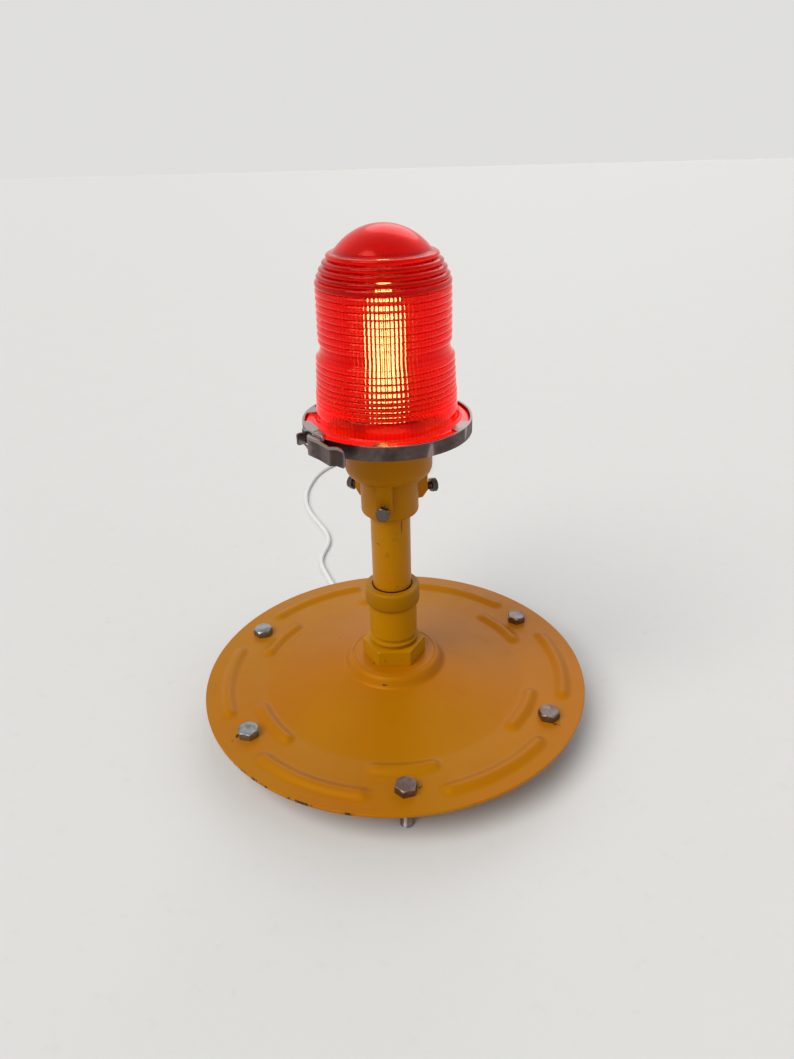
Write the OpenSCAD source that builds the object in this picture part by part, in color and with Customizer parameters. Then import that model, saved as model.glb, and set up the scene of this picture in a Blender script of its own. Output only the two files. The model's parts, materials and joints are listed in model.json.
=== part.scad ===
// Elevated runway light kept as a desk lamp: a red prism globe on a yellow cast head,
// steel column and breakable coupling, stood on a pressed steel cover plate.
// Millimetres, +Z up, origin on the floor under the middle of the plate, front towards -Y.

/* [Cover plate] */
// Diameter of the cover plate
plate_d = 304.8; // [290:0.1:340]
// Thickness of the pressed steel
plate_t = 2.5; // [1.5:0.1:4]
// Diameter where the plate starts to rise
dish_d = 208; // [180:1:212]
// Rise of the plate from there to the foot of the hub
dish_rise = 14; // [8:0.5:18]
// Diameter of the hub at its foot
hub_foot_d = 80; // [74:1:100]
// Diameter of the hub at its flat top
hub_top_d = 66; // [60:1:70]
// Height of the hub's flat top over the rim
hub_rise = 22; // [18:0.5:30]
// Radius of the hub's upper edge
hub_round = 3; // [1:0.5:5]
// Width of a pressed bead
bead_w = 10; // [6:0.5:12]
// Height of a pressed bead
bead_h = 2.5; // [1.5:0.1:3.5]
// Diameter on which the long beads lie
long_bead_d = 270; // [262:1:276]
// Length of a long bead, in degrees round the plate
long_bead_arc = 34; // [20:1:40]
// Diameter on which the short beads lie
short_bead_d = 221; // [220:1:226]
// Length of a short bead, in degrees round the plate
short_bead_arc = 21; // [10:1:30]

/* [Plate bolts] */
// Number of bolts
bolt_count = 6; // [4:1:8]
// Pitch circle of the bolts
bolt_circle_d = 260.35; // [250:0.05:270]
// Diameter of a bolt
bolt_d = 9.525; // [8:0.005:11]
// How much thinner a bolt is over its thread than over its shank
thread_less = 0.105; // [0.05:0.005:0.3]
// Length of a bolt under its head, which is how high the plate stands
bolt_len = 31.75; // [28:0.25:45]
// Width of a bolt head and nut across the flats
bolt_af = 14.29; // [13:0.01:17]
// Height of a bolt head
bolt_head_h = 6.2; // [4:0.1:8]
// Thickness of a nut
nut_h = 8.3; // [5:0.1:10]
// Diameter of the bolt holes in the plate
bolt_hole_d = 11.9; // [11.2:0.1:13]
// Turn of the bolt circle from the front
bolt_turn = 2.3; // [-10:0.1:10]

/* [Coupling] */
// Width of the coupling's hexagon across the flats
hex_af = 43; // [40:0.1:50]
// Height of the hexagon
hex_h = 13; // [8:0.5:20]
// Height of the grooved neck, where the coupling breaks
neck_h = 8; // [6:0.5:12]
// Diameter at the bottom of the neck's grooves
groove_d = 33; // [32.4:0.1:35]
// Diameter of the coupling's body
body_d = 37; // [36:0.5:40]
// Height of the coupling's body over the neck
body_h = 27; // [22:0.5:40]
// Diameter of the coupling nut
collar_d = 42; // [39.5:0.1:46]
// Height of the coupling nut
collar_h = 16; // [14:0.5:24]
// Radius of the coupling nut's edges
collar_round = 2.2; // [0.5:0.1:2.4]
// Outer diameter of the threaded spigot that goes through the plate
spigot_d = 33.4; // [30:0.1:36]
// Length of the threaded spigot
spigot_len = 22.5; // [18:0.5:24]
// Bore of the coupling, for the cord
coupling_bore = 20; // [12:0.5:24]
// Depth to which the column stands in the coupling
column_seat = 20; // [12:0.5:21]
// Diameter of the coupling's upper thread
collar_thread_d = 34.6; // [34:0.1:36]
// Length of the coupling's upper thread
collar_thread_h = 9; // [5:0.5:10]
// Height of the clamping ring in the coupling nut
ferrule_h = 3; // [2:0.1:3.5]

/* [Hub cap] */
// Diameter of the pipe cap under the plate
cap_d = 44; // [42:0.5:50]
// Height of the pipe cap
cap_h = 40; // [38:0.5:46]
// Thickness of the cap's closed end
cap_floor = 4; // [2:0.5:6]
// Height of the cord's way out over the cap's closed end
gland_up = 8; // [7:0.5:9]
// Direction in which the cord leaves, in degrees from +X
gland_turn = 108; // [90:1:130]
// Diameter of the cord gland's thread
gland_d = 12; // [10:0.5:13]
// Width of the cord gland across the flats
gland_af = 15; // [14:0.5:16]
// Length of the gland's hexagon
gland_hex_h = 5; // [4:0.5:7]
// Length of the gland's clamping nut
gland_nut_h = 10; // [8:0.5:14]
// Length of the rubber strain relief
relief_len = 25; // [20:1:30]
// Diameter of the strain relief at the gland
relief_d = 9.5; // [8.5:0.1:11]
// Diameter of the strain relief at its tip
relief_tip_d = 6.6; // [6.2:0.1:8]

/* [Column] */
// Outer diameter of the column
column_d = 29.54; // [28:0.01:30]
// Wall of the column
column_wall = 1.45; // [1:0.05:2.5]
// Length of the column that shows
column_show = 62; // [30:0.5:150]

/* [Head casting] */
// Outer diameter of the head's socket
socket_d = 42; // [41:0.5:46]
// Bore of the head's socket, wider than the column so that the head can be levelled
socket_bore = 33; // [32.8:0.1:33.6]
// Height of the head's socket, up to the bowl
socket_h = 29.5; // [28:0.5:34]
// Depth to which the column stands in the head
column_in = 20; // [18:0.5:21]
// Height of the levelling screws over the head's lower edge
screw_up = 14; // [13:0.5:15]
// Radius of the ball seat on which the head is levelled
seat_r = 18; // [17.8:0.1:18.4]
// Outer diameter of the bowl
bowl_d = 62.5; // [61:0.5:72]
// Wall of the bowl
bowl_wall = 3.2; // [2.5:0.1:4]
// Radius of the bowl's lower edge
bowl_round = 8.5; // [5:0.5:9]
// Height of the bowl's floor over the head's lower edge
bowl_floor = 36; // [35.5:0.1:38]
// Height over the head's lower edge at which the bowl spreads out to its rim
bowl_top = 60; // [56:0.5:62]
// Diameter of the head's rim
rim_d = 113.6; // [112:0.1:114]
// Height of the rim's underside over the head's lower edge
rim_up = 63.9; // [63:0.1:66]
// Thickness of the rim
rim_h = 3.3; // [2.5:0.1:4]
// Width of a levelling screw's boss
boss_w = 11; // [10:0.5:15]
// Depth of a levelling screw's boss below its screw
boss_low = 5.75; // [5:0.25:6.5]
// Reach of a levelling screw's boss from the column's axis
boss_reach = 28; // [26:0.5:30]
// Turn of the front levelling screw from the front
boss_turn = -8.5; // [-20:0.5:0]

/* [Levelling screws] */
// Diameter of a levelling screw
screw_d = 6.35; // [5:0.05:7]
// Width of a levelling screw's head across the flats
screw_af = 9.53; // [8.5:0.01:11]
// Height of a levelling screw's head
screw_head_h = 4.4; // [3:0.1:6]
// Length of a levelling screw under its head
screw_len = 17.5; // [14:0.5:26]
// Length of the right levelling screw under its head
right_screw_len = 17.5; // [14:0.5:26]

/* [Globe] */
// Gap from the rim's edge in to the edge of the globe's flange
flange_in = 0.3; // [0.1:0.1:1]
// Thickness of the globe's flange
flange_t = 3.4; // [3:0.1:4]
// Diameter of the globe over its lowest rings
globe_low_d = 96.9; // [94:0.1:100]
// Diameter of the globe at its waist
globe_waist_d = 88.1; // [84:0.1:90]
// Diameter of the globe over its upper rings
globe_top_d = 89; // [86:0.1:92]
// Wall of the globe, behind the rings' crests
globe_wall = 5; // [4:0.1:6]
// Depth of the grooves between the rings
ring_depth = 1.3; // [0.5:0.1:1.8]
// Height of the lowest groove over the flange's underside
low_ring_z = 16.2; // [14:0.1:18]
// Pitch and number of the narrow rings at the bottom
low_pitch = 3.28; // [3:0.01:3.5]
low_count = 5; // [3:1:6]
// Pitch and number of the wider rings under the waist
mid_pitch = 4.38; // [4:0.01:4.6]
mid_count = 4; // [2:1:5]
// Height of the plain belt at the waist
belt_h = 7; // [5:0.1:10]
// Pitch and number of the rings over the waist
top_pitch = 4.58; // [4.2:0.01:5]
top_count = 9; // [6:1:10]
// Height of one of the rounded steps on the shoulder
step_h = 4.1; // [3.5:0.1:5]
// Diameter of the dome at its foot
dome_d = 64; // [58:0.5:68]
// Height of the dome
dome_h = 16.5; // [12:0.5:20]
// Thickness of the gasket under the globe
gasket_t = 1.5; // [1:0.1:2.5]
// Width of the gasket
gasket_w = 7; // [5:0.5:9]

/* [Clamp band] */
// Thickness of the band
band_t = 1.5; // [1:0.1:2]
// Height of the band
band_h = 10; // [9.5:0.1:11]
// Thickness of the lips that hold the globe down
lip_t = 1.2; // [0.8:0.1:1.4]
// Share of the flange's fillet that the lips stay clear of
lip_clear = 0.65; // [0.4:0.05:1]
// Turn of the latch's pivot from the front
latch_turn = -53; // [-60:1:-40]
// Distance of the latch's pivot from the band
pivot_out = 3.7; // [3.6:0.1:4.4]
// Diameter of the latch's pivot pin
pivot_d = 2.4; // [2:0.1:2.6]
// Height of the lever
lever_h = 13; // [12.6:0.1:15]
// Thickness of the lever's sheet
lever_t = 1.2; // [0.8:0.1:1.4]
// End of the lever's handle, in degrees round the band from its pivot
lever_arc = 31; // [24:1:34]
// Distance by which the lever's end stands out from its root
lever_flare = 6.8; // [4:0.1:8]
// Depth of the crease across the lever's handle
lever_crease = 2; // [1:0.1:3]
// Place of the link's hinge in the lever, in degrees from the pivot
link_arc = 9; // [8:0.5:10]
// Diameter of the link's wire
link_wire = 1.4; // [1:0.1:1.6]
// Place of the catch behind the pivot, in degrees
catch_arc = 13; // [12:0.5:20]
// Reach of the catch from the band
catch_reach = 8.2; // [4:0.1:9]
// Height of the catch
catch_h = 8.4; // [6:0.1:8.6]

/* [Lamp] */
// Diameter of the porcelain lamp holder
holder_d = 36; // [34:0.5:40]
// Height of the lamp holder
holder_h = 32; // [28:0.5:34]
// Diameter of the lamp holder's foot
holder_foot_d = 50; // [48:0.5:52]
// Diameter of the bulb's cap
bulb_cap_d = 26; // [25.8:0.1:26.4]
// Length of the bulb's cap
bulb_cap_h = 22; // [20:0.5:26]
// Diameter of the bulb's glass
bulb_d = 30; // [27:0.5:45]
// Length of the bulb's glass over the cap
bulb_len = 94; // [60:1:96]
// Wall of the bulb's glass
bulb_wall = 1; // [0.6:0.1:1.5]
// Number of filaments
filament_count = 6; // [4:1:8]
// Length of a filament
filament_len = 58; // [30:1:60]

/* [Cord] */
// Diameter of the cord
cord_d = 4.8; // [4:0.1:5]
// Turns of the coil in which the rest of the cord is put away, three quarters of one added
coil_full_turns = 6; // [5:1:7]
// Layers of the coil
coil_layers = 4; // [2:2:4]
// Diameter of the coil at the middle of its turns
coil_d = 56; // [50:1:60]
// Spacing of the coil's turns and layers
coil_pitch = 5.25; // [5.2:0.05:6]
// Length of the plug's body
plug_len = 34; // [28:1:40]
// Width of the plug's body
plug_w = 23; // [20:1:28]
// Height of the plug's body
plug_h = 13; // [11:0.5:16]
// Width of the strap that ties the coil
tie_w = 8; // [5:0.5:12]
// Thickness of the strap
tie_t = 0.8; // [0.5:0.1:1.2]

/* [Clearances] */
// Radial gap between two pieces that are screwed or pushed together
fit_gap = 0.05; // [0.02:0.01:0.1]
// Gap between pieces that move past each other
move_gap = 0.3; // [0.2:0.05:0.5]
// Gap between the column and the levelling screws' tips
tip_gap = 0.5; // [0.4:0.05:1]

/* [Hidden] */
$fn = 96;
eps = 0.01;

// Heights, stacked from the floor up
plate_z = bolt_len;
hub_z = plate_z + hub_rise;
cap_top = hub_z - plate_t;
cap_bottom = cap_top - cap_h;
gland_z = cap_bottom + cap_floor + gland_up;
hex_top = hub_z + hex_h;
neck_top = hex_top + neck_h;
body_top = neck_top + body_h;
collar_top = body_top + collar_h;
column_bottom = body_top - column_seat;
head_z = collar_top + column_show;
column_top = head_z + column_in;
seat_z = head_z + screw_up;
bowl_floor_z = head_z + bowl_floor;
rim_top = head_z + rim_up + rim_h;
flange_z = rim_top + gasket_t + 0.1;
flange_top = flange_z + flange_t;
band_top = flange_top + move_gap + lip_t;
band_bottom = band_top - band_h;
band_mid = (band_top + band_bottom) / 2;
holder_top = bowl_floor_z + holder_h;
bulb_tip = bowl_floor_z + 8.3;
bulb_cap_top = bulb_tip + 3.7 + bulb_cap_h;

// Radii that two or more pieces share
flange_d = rim_d - 2 * flange_in;
flange_fillet = (flange_d - globe_low_d) / 4;
lip_r = globe_low_d / 2 + lip_clear * flange_fillet;
band_r = rim_d / 2 + 0.6;
band_out = band_r + band_t;
pivot_r = band_out + pivot_out;
lever_r = pivot_r + 2.3;
ear_out = lever_h / 2 - 0.2;
link_r = band_out + 1.4 + link_wire / 2;
link_turn = latch_turn + link_arc;
catch_turn = latch_turn - catch_arc;
catch_lean = 10;
cap_bore = spigot_d + 2 * fit_gap;
screw_tip = column_d / 2 + tip_gap;
gland_face = cap_d / 2 + 0.3;
gland_nut_face = gland_face + gland_hex_h;
relief_face = gland_nut_face + gland_nut_h;
cord_exit = relief_face + relief_len;
holder_bore = bulb_cap_d + 2;
lead_r = 1.1;
lead_out = 9;
earth_y = 3;
small_screw_d = 4;
small_screw_r = 21;
small_screw_in = 4;
small_screws = [[0, small_screw_r], [0, -small_screw_r], [-22.8, earth_y]];

// Heights of the grooves round the globe, over its flange's underside
low_top = low_ring_z + low_count * low_pitch;
mid_top = low_top + mid_count * mid_pitch;
top_start = mid_top + belt_h;
top_end = top_start + top_count * top_pitch;
grooves = concat(
    [for (i = [0:low_count]) low_ring_z + i * low_pitch],
    [for (i = [1:mid_count]) low_top + i * mid_pitch],
    [for (i = [0:top_count]) top_start + i * top_pitch]);
globe_h = top_end + 4 * step_h + dome_h;

// Where the cord lies, from its strain relief to its coil: straight out, down to the floor,
// out under the rim, in the bends in which it lies, and round behind the lamp
gland_dir = [cos(gland_turn), sin(gland_turn), 0];
cord_r = cord_d / 2;
coil_turns = coil_full_turns + 0.75;
coil_x = 8;
coil_y = 478;
coil_out = coil_d / 2 + coil_pitch * coil_turns / coil_layers / 2;
coil_z = tie_t + 0.3 + cord_r;
coil_end_z = coil_z + (coil_layers - 1) * coil_pitch;
plug_x = 5;
plug_y = 522;
run_points = [
    gland_dir * cord_exit + [0, 0, gland_z],
    gland_dir * (cord_exit + 10) + [0, 0, gland_z],
    [-26, 81, 21.8], [-30, 93, 17.8], [-34, 105, 12], [-38.5, 118, 6.6], [-43, 132, 3.4],
    [-48, 147, 2.4], [-53, 162, 2.4], [-58, 176, 2.4], [-63, 190, 2.4], [-68, 204, 2.4], [-73, 219, 2.4],
    [-76.5, 233, 2.4], [-77, 246, 2.4], [-75, 258, 2.4], [-72.5, 270, 2.4], [-71.5, 282, 2.4],
    [-73, 295, 2.4], [-77, 309, 2.4], [-83, 323, 2.4], [-89, 337, 2.4], [-95, 351, 2.4], [-100, 366, 2.4],
    [-104, 382, 2.4], [-106, 399, 2.4], [-106.5, 416, 2.4], [-105, 433, 2.4], [-102, 450, 2.4],
    [-98, 466, 2.4], [-91.5, 482, 2.4], [-82, 497, 2.4], [-69.5, 509.5, 2.4], [-54.5, 517.5, 2.4], [-38, 519.8, 2.5],
    [-24, 517.6, 2.8], [-12, 513, 3.3],
    [coil_x - 2.2 * cord_d, coil_y + coil_out, coil_z], [coil_x - cord_d, coil_y + coil_out, coil_z]];
tail_points = [
    [coil_x - coil_out, coil_y + cord_d, coil_end_z],
    [coil_x - coil_out, coil_y + 2.2 * cord_d, coil_end_z], [-24.4, 497, 18.6], [-22.8, 506.5, 17], [-18.8, 514.2, 14.3], [-13, 519, 11.6],
    [-7.5, 521.3, 8.6], [plug_x - cord_d, plug_y, plug_h / 2],
    [plug_x, plug_y, plug_h / 2]];

yellow = [0.79, 0.53, 0.07];
coupling_yellow = [0.72, 0.52, 0.09];
steel = [0.62, 0.64, 0.66];
dark_steel = [0.30, 0.28, 0.27];
brass = [0.78, 0.62, 0.30];

// Points on an arc
function arc(cx, cy, r, from, to, n = 6) =
    [for (i = [0:n]) let (a = from + (to - from) * i / n) [cx + r * cos(a), cy + r * sin(a)]];
function unit(v) = v / norm(v);
// Direction of a route at one of its points
function heading(p, i) = unit(p[min(i + 1, len(p) - 1)] - p[max(i - 1, 0)]);
// Direction from the axis that lies a given angle round from the front
function round_from_front(a) = [sin(a), -cos(a), 0];
// Length of a route
function length_of(p, i = 1) = i >= len(p) ? 0 : norm(p[i] - p[i - 1]) + length_of(p, i + 1);

// Round tube along a route, as one closed solid
module tube_along(p, r, sides, up = [0, 0, 1]) {
    rings = [for (i = [0:len(p) - 1])
        let (t = heading(p, i), s = unit(cross(t, up)), u = cross(s, t))
        for (k = [0:sides - 1]) let (a = 360 * k / sides) p[i] + r * (cos(a) * s + sin(a) * u)];
    last = (len(p) - 1) * sides;
    walls = [for (i = [0:len(p) - 2]) for (k = [0:sides - 1])
        let (a = i * sides + k, b = i * sides + (k + 1) % sides)
        each [[a, b, a + sides], [b, b + sides, a + sides]]];
    ends = [for (k = [1:sides - 2]) each [[0, k + 1, k], [last, last + k, last + k + 1]]];
    polyhedron(rings, concat(walls, ends), convexity = 8);
}

// Puts a piece that is drawn at the front, at radius 0, a given angle round from the front
module at_turn(a) rotate([0, 0, a]) children();

// Hexagonal bar with its upper corners taken off, as on a bolt head
module hex_head(af, h) {
    corner = af / cos(30);
    intersection() {
        cylinder(d = corner, h = h, $fn = 6);
        cylinder(d1 = corner + 2 * h * 1.7, d2 = af * 0.98, h = h);
    }
}

// Hexagonal nut
module hex_nut(af, h, bore) {
    difference() {
        hex_head(af, h);
        translate([0, 0, -1]) cylinder(d = bore, h = h + 2);
    }
}

// Part of a ring, drawn from the front: inner and outer radius, height, start and length of the arc
module ring_sector(r_in, r_out, z, h, from, span) {
    translate([0, 0, z]) rotate([0, 0, from - 90])
        rotate_extrude(angle = span) translate([r_in, 0]) square([r_out - r_in, h]);
}

// One pressed bead on the plate, as a tube of a given radius sunk in it, with round ends
module bead(d, arc_deg, tube_r, sink) {
    translate([0, 0, plate_z - sink]) {
        rotate([0, 0, -90 - arc_deg / 2]) rotate_extrude(angle = arc_deg)
            translate([d / 2, 0]) circle(r = tube_r, $fn = 48);
        for (a = [-arc_deg / 2, arc_deg / 2])
            at_turn(a) translate([0, -d / 2, 0]) sphere(r = tube_r, $fn = 48);
    }
}

module all_beads(tube_r, sink) {
    step = 360 / bolt_count;
    for (i = [0:bolt_count - 1]) {
        at_turn(bolt_turn + i * step) bead(short_bead_d, short_bead_arc, tube_r, sink);
        at_turn(bolt_turn + (i + 0.5) * step) bead(long_bead_d, long_bead_arc, tube_r, sink);
    }
}

module at_bolts() {
    for (i = [0:bolt_count - 1])
        at_turn(bolt_turn + i * 360 / bolt_count) translate([0, -bolt_circle_d / 2, 0]) children();
}

// Pressed cover plate: flat rim, dished middle, raised hub, twelve beads
module base_plate() {
    foot_r = hub_foot_d / 2;
    top_r = hub_top_d / 2;
    slope = atan2(foot_r - top_r, hub_rise - dish_rise);
    edge = concat(
        [[spigot_d / 2 + 0.6, hub_rise]],
        arc(top_r - hub_round, hub_rise - hub_round, hub_round, 90, slope),
        [for (i = [0:6]) let (t = 1 - i / 6)
            [foot_r + (dish_d / 2 - foot_r) * (1 - t), dish_rise * pow(t, 1.15)]],
        [[plate_d / 2, 0]]);
    count = len(edge);
    below = [for (i = [0:count - 1]) edge[count - 1 - i] - [0, plate_t]];
    bead_r = (pow(bead_w / 2, 2) + pow(bead_h, 2)) / (2 * bead_h);
    color(yellow) difference() {
        union() {
            translate([0, 0, plate_z]) rotate_extrude($fn = 180) polygon(concat(edge, below));
            intersection() {
                all_beads(bead_r, bead_r - bead_h);
                translate([0, 0, plate_z - plate_t / 2]) cylinder(d = plate_d, h = plate_t / 2 + bead_h + 1);
            }
        }
        all_beads(bead_r - plate_t, bead_r - bead_h);
        at_bolts() translate([0, 0, plate_z - plate_t - 1]) cylinder(d = bolt_hole_d, h = plate_t + 2);
    }
}

// Bolts that hold the plate, and on whose ends the lamp stands
module base_bolts() {
    tip = 1;
    thread_d = bolt_d - thread_less;
    thread_end = plate_z - plate_t - nut_h - move_gap;
    color(steel) at_bolts() {
        cylinder(d1 = thread_d - 2 * tip, d2 = thread_d, h = tip);
        translate([0, 0, tip]) cylinder(d = thread_d, h = thread_end - tip + eps);
        translate([0, 0, thread_end]) cylinder(d = bolt_d, h = bolt_len - thread_end + eps);
        translate([0, 0, plate_z]) rotate([0, 0, 17]) hex_head(bolt_af, bolt_head_h);
    }
}

module base_nuts() {
    color(steel) at_bolts() translate([0, 0, plate_z - plate_t - nut_h])
        rotate([0, 0, 8]) hex_nut(bolt_af, nut_h, bolt_d + 2 * fit_gap);
}

// Places a piece drawn along +X so that it points out of the cap, the way the cord leaves
module along_gland() {
    translate([0, 0, gland_z]) rotate([0, 0, gland_turn]) children();
}

// Pipe cap that closes the hub under the plate and draws the coupling down on it
module hub_cap() {
    color(dark_steel) difference() {
        union() {
            translate([0, 0, cap_bottom]) cylinder(d1 = cap_d - 4, d2 = cap_d, h = 2);
            translate([0, 0, cap_bottom + 2]) cylinder(d = cap_d, h = cap_h - 2);
        }
        translate([0, 0, cap_bottom + cap_floor]) cylinder(d = cap_bore, h = cap_h);
        along_gland() rotate([0, 90, 0]) cylinder(d = gland_d + 2 * fit_gap, h = cap_d);
    }
}

module cord_gland() {
    color([0.12, 0.12, 0.13]) along_gland() difference() {
        union() {
            translate([cap_bore / 2 - 1, 0, 0]) rotate([0, 90, 0])
                cylinder(d = gland_d, h = gland_nut_face - cap_bore / 2 + 1);
            translate([gland_face, 0, 0]) rotate([0, 90, 0])
                cylinder(d = gland_af / cos(30), h = gland_hex_h, $fn = 6);
            translate([gland_nut_face - eps, 0, 0]) rotate([0, 90, 0]) cylinder(d = gland_d - 2, h = gland_nut_h - 2);
        }
        rotate([0, 90, 0]) cylinder(d = cord_d + 2 * fit_gap, h = cord_exit);
    }
}

module gland_nut() {
    neck = gland_d - 2 + 2 * fit_gap;
    color([0.12, 0.12, 0.13]) along_gland() difference() {
        translate([gland_nut_face, 0, 0]) rotate([0, 90, 0]) {
            cylinder(d = gland_af / cos(30), h = gland_nut_h - 3, $fn = 6);
            translate([0, 0, gland_nut_h - 3 - eps]) cylinder(d1 = gland_af - 0.5, d2 = relief_d + 1, h = 3 + eps);
        }
        translate([gland_nut_face - 1, 0, 0]) rotate([0, 90, 0]) cylinder(d = neck, h = gland_nut_h - 1);
        rotate([0, 90, 0]) cylinder(d = cord_d + 2 * fit_gap, h = cord_exit);
    }
}

// Tapered rubber sleeve round the cord
module strain_relief() {
    color([0.88, 0.88, 0.86]) along_gland() difference() {
        translate([relief_face, 0, 0]) rotate([0, 90, 0]) cylinder(d1 = relief_d, d2 = relief_tip_d, h = relief_len);
        rotate([0, 90, 0]) cylinder(d = cord_d + 2 * fit_gap, h = cord_exit + 1);
    }
}

// Coupling that breaks at its grooved neck: spigot, hexagon, neck, body and upper thread
module coupling_body() {
    groove_h = neck_h * 0.32;
    land_r = body_d / 2 + 0.4;
    color(coupling_yellow) difference() {
        union() {
            translate([0, 0, hub_z - spigot_len]) cylinder(d = spigot_d, h = spigot_len + 1);
            intersection() {
                translate([0, 0, hub_z]) cylinder(d = hex_af / cos(30), h = hex_h, $fn = 6);
                translate([0, 0, hub_z]) cylinder(d1 = hex_af / cos(30) - 1.6 + 2 * hex_h, d2 = hex_af / cos(30) - 1.6, h = hex_h);
            }
            rotate_extrude() polygon([
                [0, hub_z + 1], [groove_d / 2, hub_z + 1],
                [groove_d / 2, hex_top + groove_h], [land_r, hex_top + groove_h + 0.6],
                [land_r, neck_top - groove_h - 0.6], [groove_d / 2, neck_top - groove_h],
                [groove_d / 2, neck_top - 0.8], [body_d / 2, neck_top + 0.6],
                [body_d / 2, body_top], [collar_thread_d / 2, body_top],
                [collar_thread_d / 2, body_top + collar_thread_h - 0.8],
                [collar_thread_d / 2 - 0.8, body_top + collar_thread_h], [0, body_top + collar_thread_h]]);
        }
        translate([0, 0, hub_z - spigot_len - 1]) cylinder(d = coupling_bore, h = 100);
        translate([0, 0, column_bottom]) cylinder(d = column_d + 2 * fit_gap, h = 100);
    }
}

// Split ring that the coupling nut squeezes on to the column
module coupling_ring() {
    z = body_top + collar_thread_h + 0.4;
    color(brass) difference() {
        translate([0, 0, z]) cylinder(d = collar_thread_d - 1.6, h = ferrule_h);
        translate([0, 0, z - 1]) cylinder(d = column_d + 2 * fit_gap, h = ferrule_h + 2);
        translate([0, -1, z - 1]) cube([collar_thread_d, 2, ferrule_h + 2]);
    }
}

module coupling_nut() {
    out = collar_d / 2;
    bore = collar_thread_d / 2 + fit_gap;
    mouth = column_d / 2 + 0.8;
    roof = body_top + collar_thread_h + 0.4 + ferrule_h + fit_gap;
    color(coupling_yellow) rotate_extrude() polygon(concat(
        [[bore, body_top], [out - 1.6, body_top], [out - 0.5, body_top + 1.5], [out, body_top + 3.5]],
        arc(out - collar_round, collar_top - collar_round, collar_round, 0, 90),
        [[mouth, collar_top], [mouth, roof], [bore, roof]]));
}

// Steel tube that carries the head
module column() {
    color(yellow) translate([0, 0, column_bottom]) difference() {
        cylinder(d = column_d, h = column_top - column_bottom);
        translate([0, 0, -1]) cylinder(d = column_d - 2 * column_wall, h = column_top - column_bottom + 2);
    }
}

// Cord inside the stand: through the gland, round in the cap, up the coupling and the column
inner_bend = 4 * cord_d;
inner_side = 6.4;
inner_points = concat(
    [for (x = [cord_exit, relief_face, gland_face, inner_bend - inner_side + 1]) [x, gland_z]],
    [for (i = [0:6]) let (a = 15 * i)
        [inner_bend - inner_side - inner_bend * sin(a), gland_z + inner_bend * (1 - cos(a))]],
    [for (i = [1:12]) let (t = i / 12)
        [-inner_side * (1 + cos(180 * t)) / 2, gland_z + inner_bend + t * (seat_z - 1 - gland_z - inner_bend)]]);

module inner_cord() {
    color([0.88, 0.88, 0.86]) tube_along([for (p = inner_points) gland_dir * p[0] + [0, 0, p[1]]], cord_r, 8,
        [-sin(gland_turn), cos(gland_turn), 0]);
}

// Ring on top of the column, with the ball seat on which the head is levelled
module levelling_ring() {
    up = column_top - seat_z;
    top = up + 5;
    color(brass) translate([0, 0, seat_z]) difference() {
        union() {
            intersection() {
                sphere(r = seat_r - move_gap);
                translate([0, 0, up]) cylinder(d = socket_bore - 2 * move_gap - 1, h = top - up);
            }
            translate([0, 0, up - 8]) cylinder(d = column_d - 2 * column_wall - 2 * fit_gap, h = 8 + eps);
        }
        translate([0, 0, up - 9]) cylinder(d = coupling_bore, h = 30);
    }
}

// Side view of a levelling screw's boss, which runs up to the bowl, drawn out to its width
module screw_boss() {
    low = -boss_low;
    high = socket_h + 0.7 * bowl_round - screw_up;
    translate([boss_w / 2, 0, 0]) rotate([90, 0, -90]) linear_extrude(height = boss_w)
        polygon([[socket_bore / 2 + 1, low], [socket_d / 2 + 3, low], [boss_reach, low + 5],
            [boss_reach, high], [socket_bore / 2 + 1, high]]);
}

// Cast head: socket on the column, bowl for the lamp holder, flat rim for the globe
module head_casting() {
    bore_r = socket_bore / 2;
    out_r = socket_d / 2;
    bowl_r = bowl_d / 2;
    in_r = bowl_r - bowl_wall;
    top = rim_up + rim_h;
    seat_top = column_in + 6.5;
    color(yellow) difference() {
        translate([0, 0, head_z]) difference() {
            union() {
                rotate_extrude() polygon(concat(
                    [[0, 0], [bore_r + 1, 0]],
                    arc(out_r - 3.2, 3.2, 3.2, -60, 0, 4),
                    [[out_r, socket_h - 0.8], [out_r + 0.8, socket_h]],
                    arc(bowl_r - bowl_round, socket_h + bowl_round, bowl_round, -90, 0),
                    [[bowl_r, bowl_top - 2], [bowl_r + 2, bowl_top], [rim_d / 2 - 1, rim_up],
                        [rim_d / 2, rim_up + 0.8], [rim_d / 2, top], [0, top]]));
                translate([0, 0, screw_up]) for (i = [0:2]) at_turn(boss_turn + 120 * i) screw_boss();
            }
            translate([0, 0, -1]) cylinder(r = bore_r, h = screw_up + 2);
            translate([0, 0, screw_up]) intersection() {
                sphere(r = seat_r);
                cylinder(r = bore_r, h = seat_top - screw_up);
            }
            translate([0, 0, screw_up]) cylinder(d = coupling_bore + 2, h = top);
            translate([0, 0, bowl_floor]) cylinder(r = in_r, h = top);
            translate([0, 0, bowl_top]) cylinder(r1 = in_r, r2 = in_r + top - bowl_top + 1, h = top - bowl_top + 1);
        }
        translate([0, 0, seat_z]) for (i = [0:2]) at_turn(boss_turn + 120 * i)
            rotate([90, 0, 0]) cylinder(d = screw_d + 2 * fit_gap, h = boss_reach + 1);
        for (p = small_screws) translate([p[0], p[1], bowl_floor_z - small_screw_in - 0.3])
            cylinder(d = small_screw_d + 2 * fit_gap, h = small_screw_in + 1, $fn = 32);
    }
}

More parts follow.
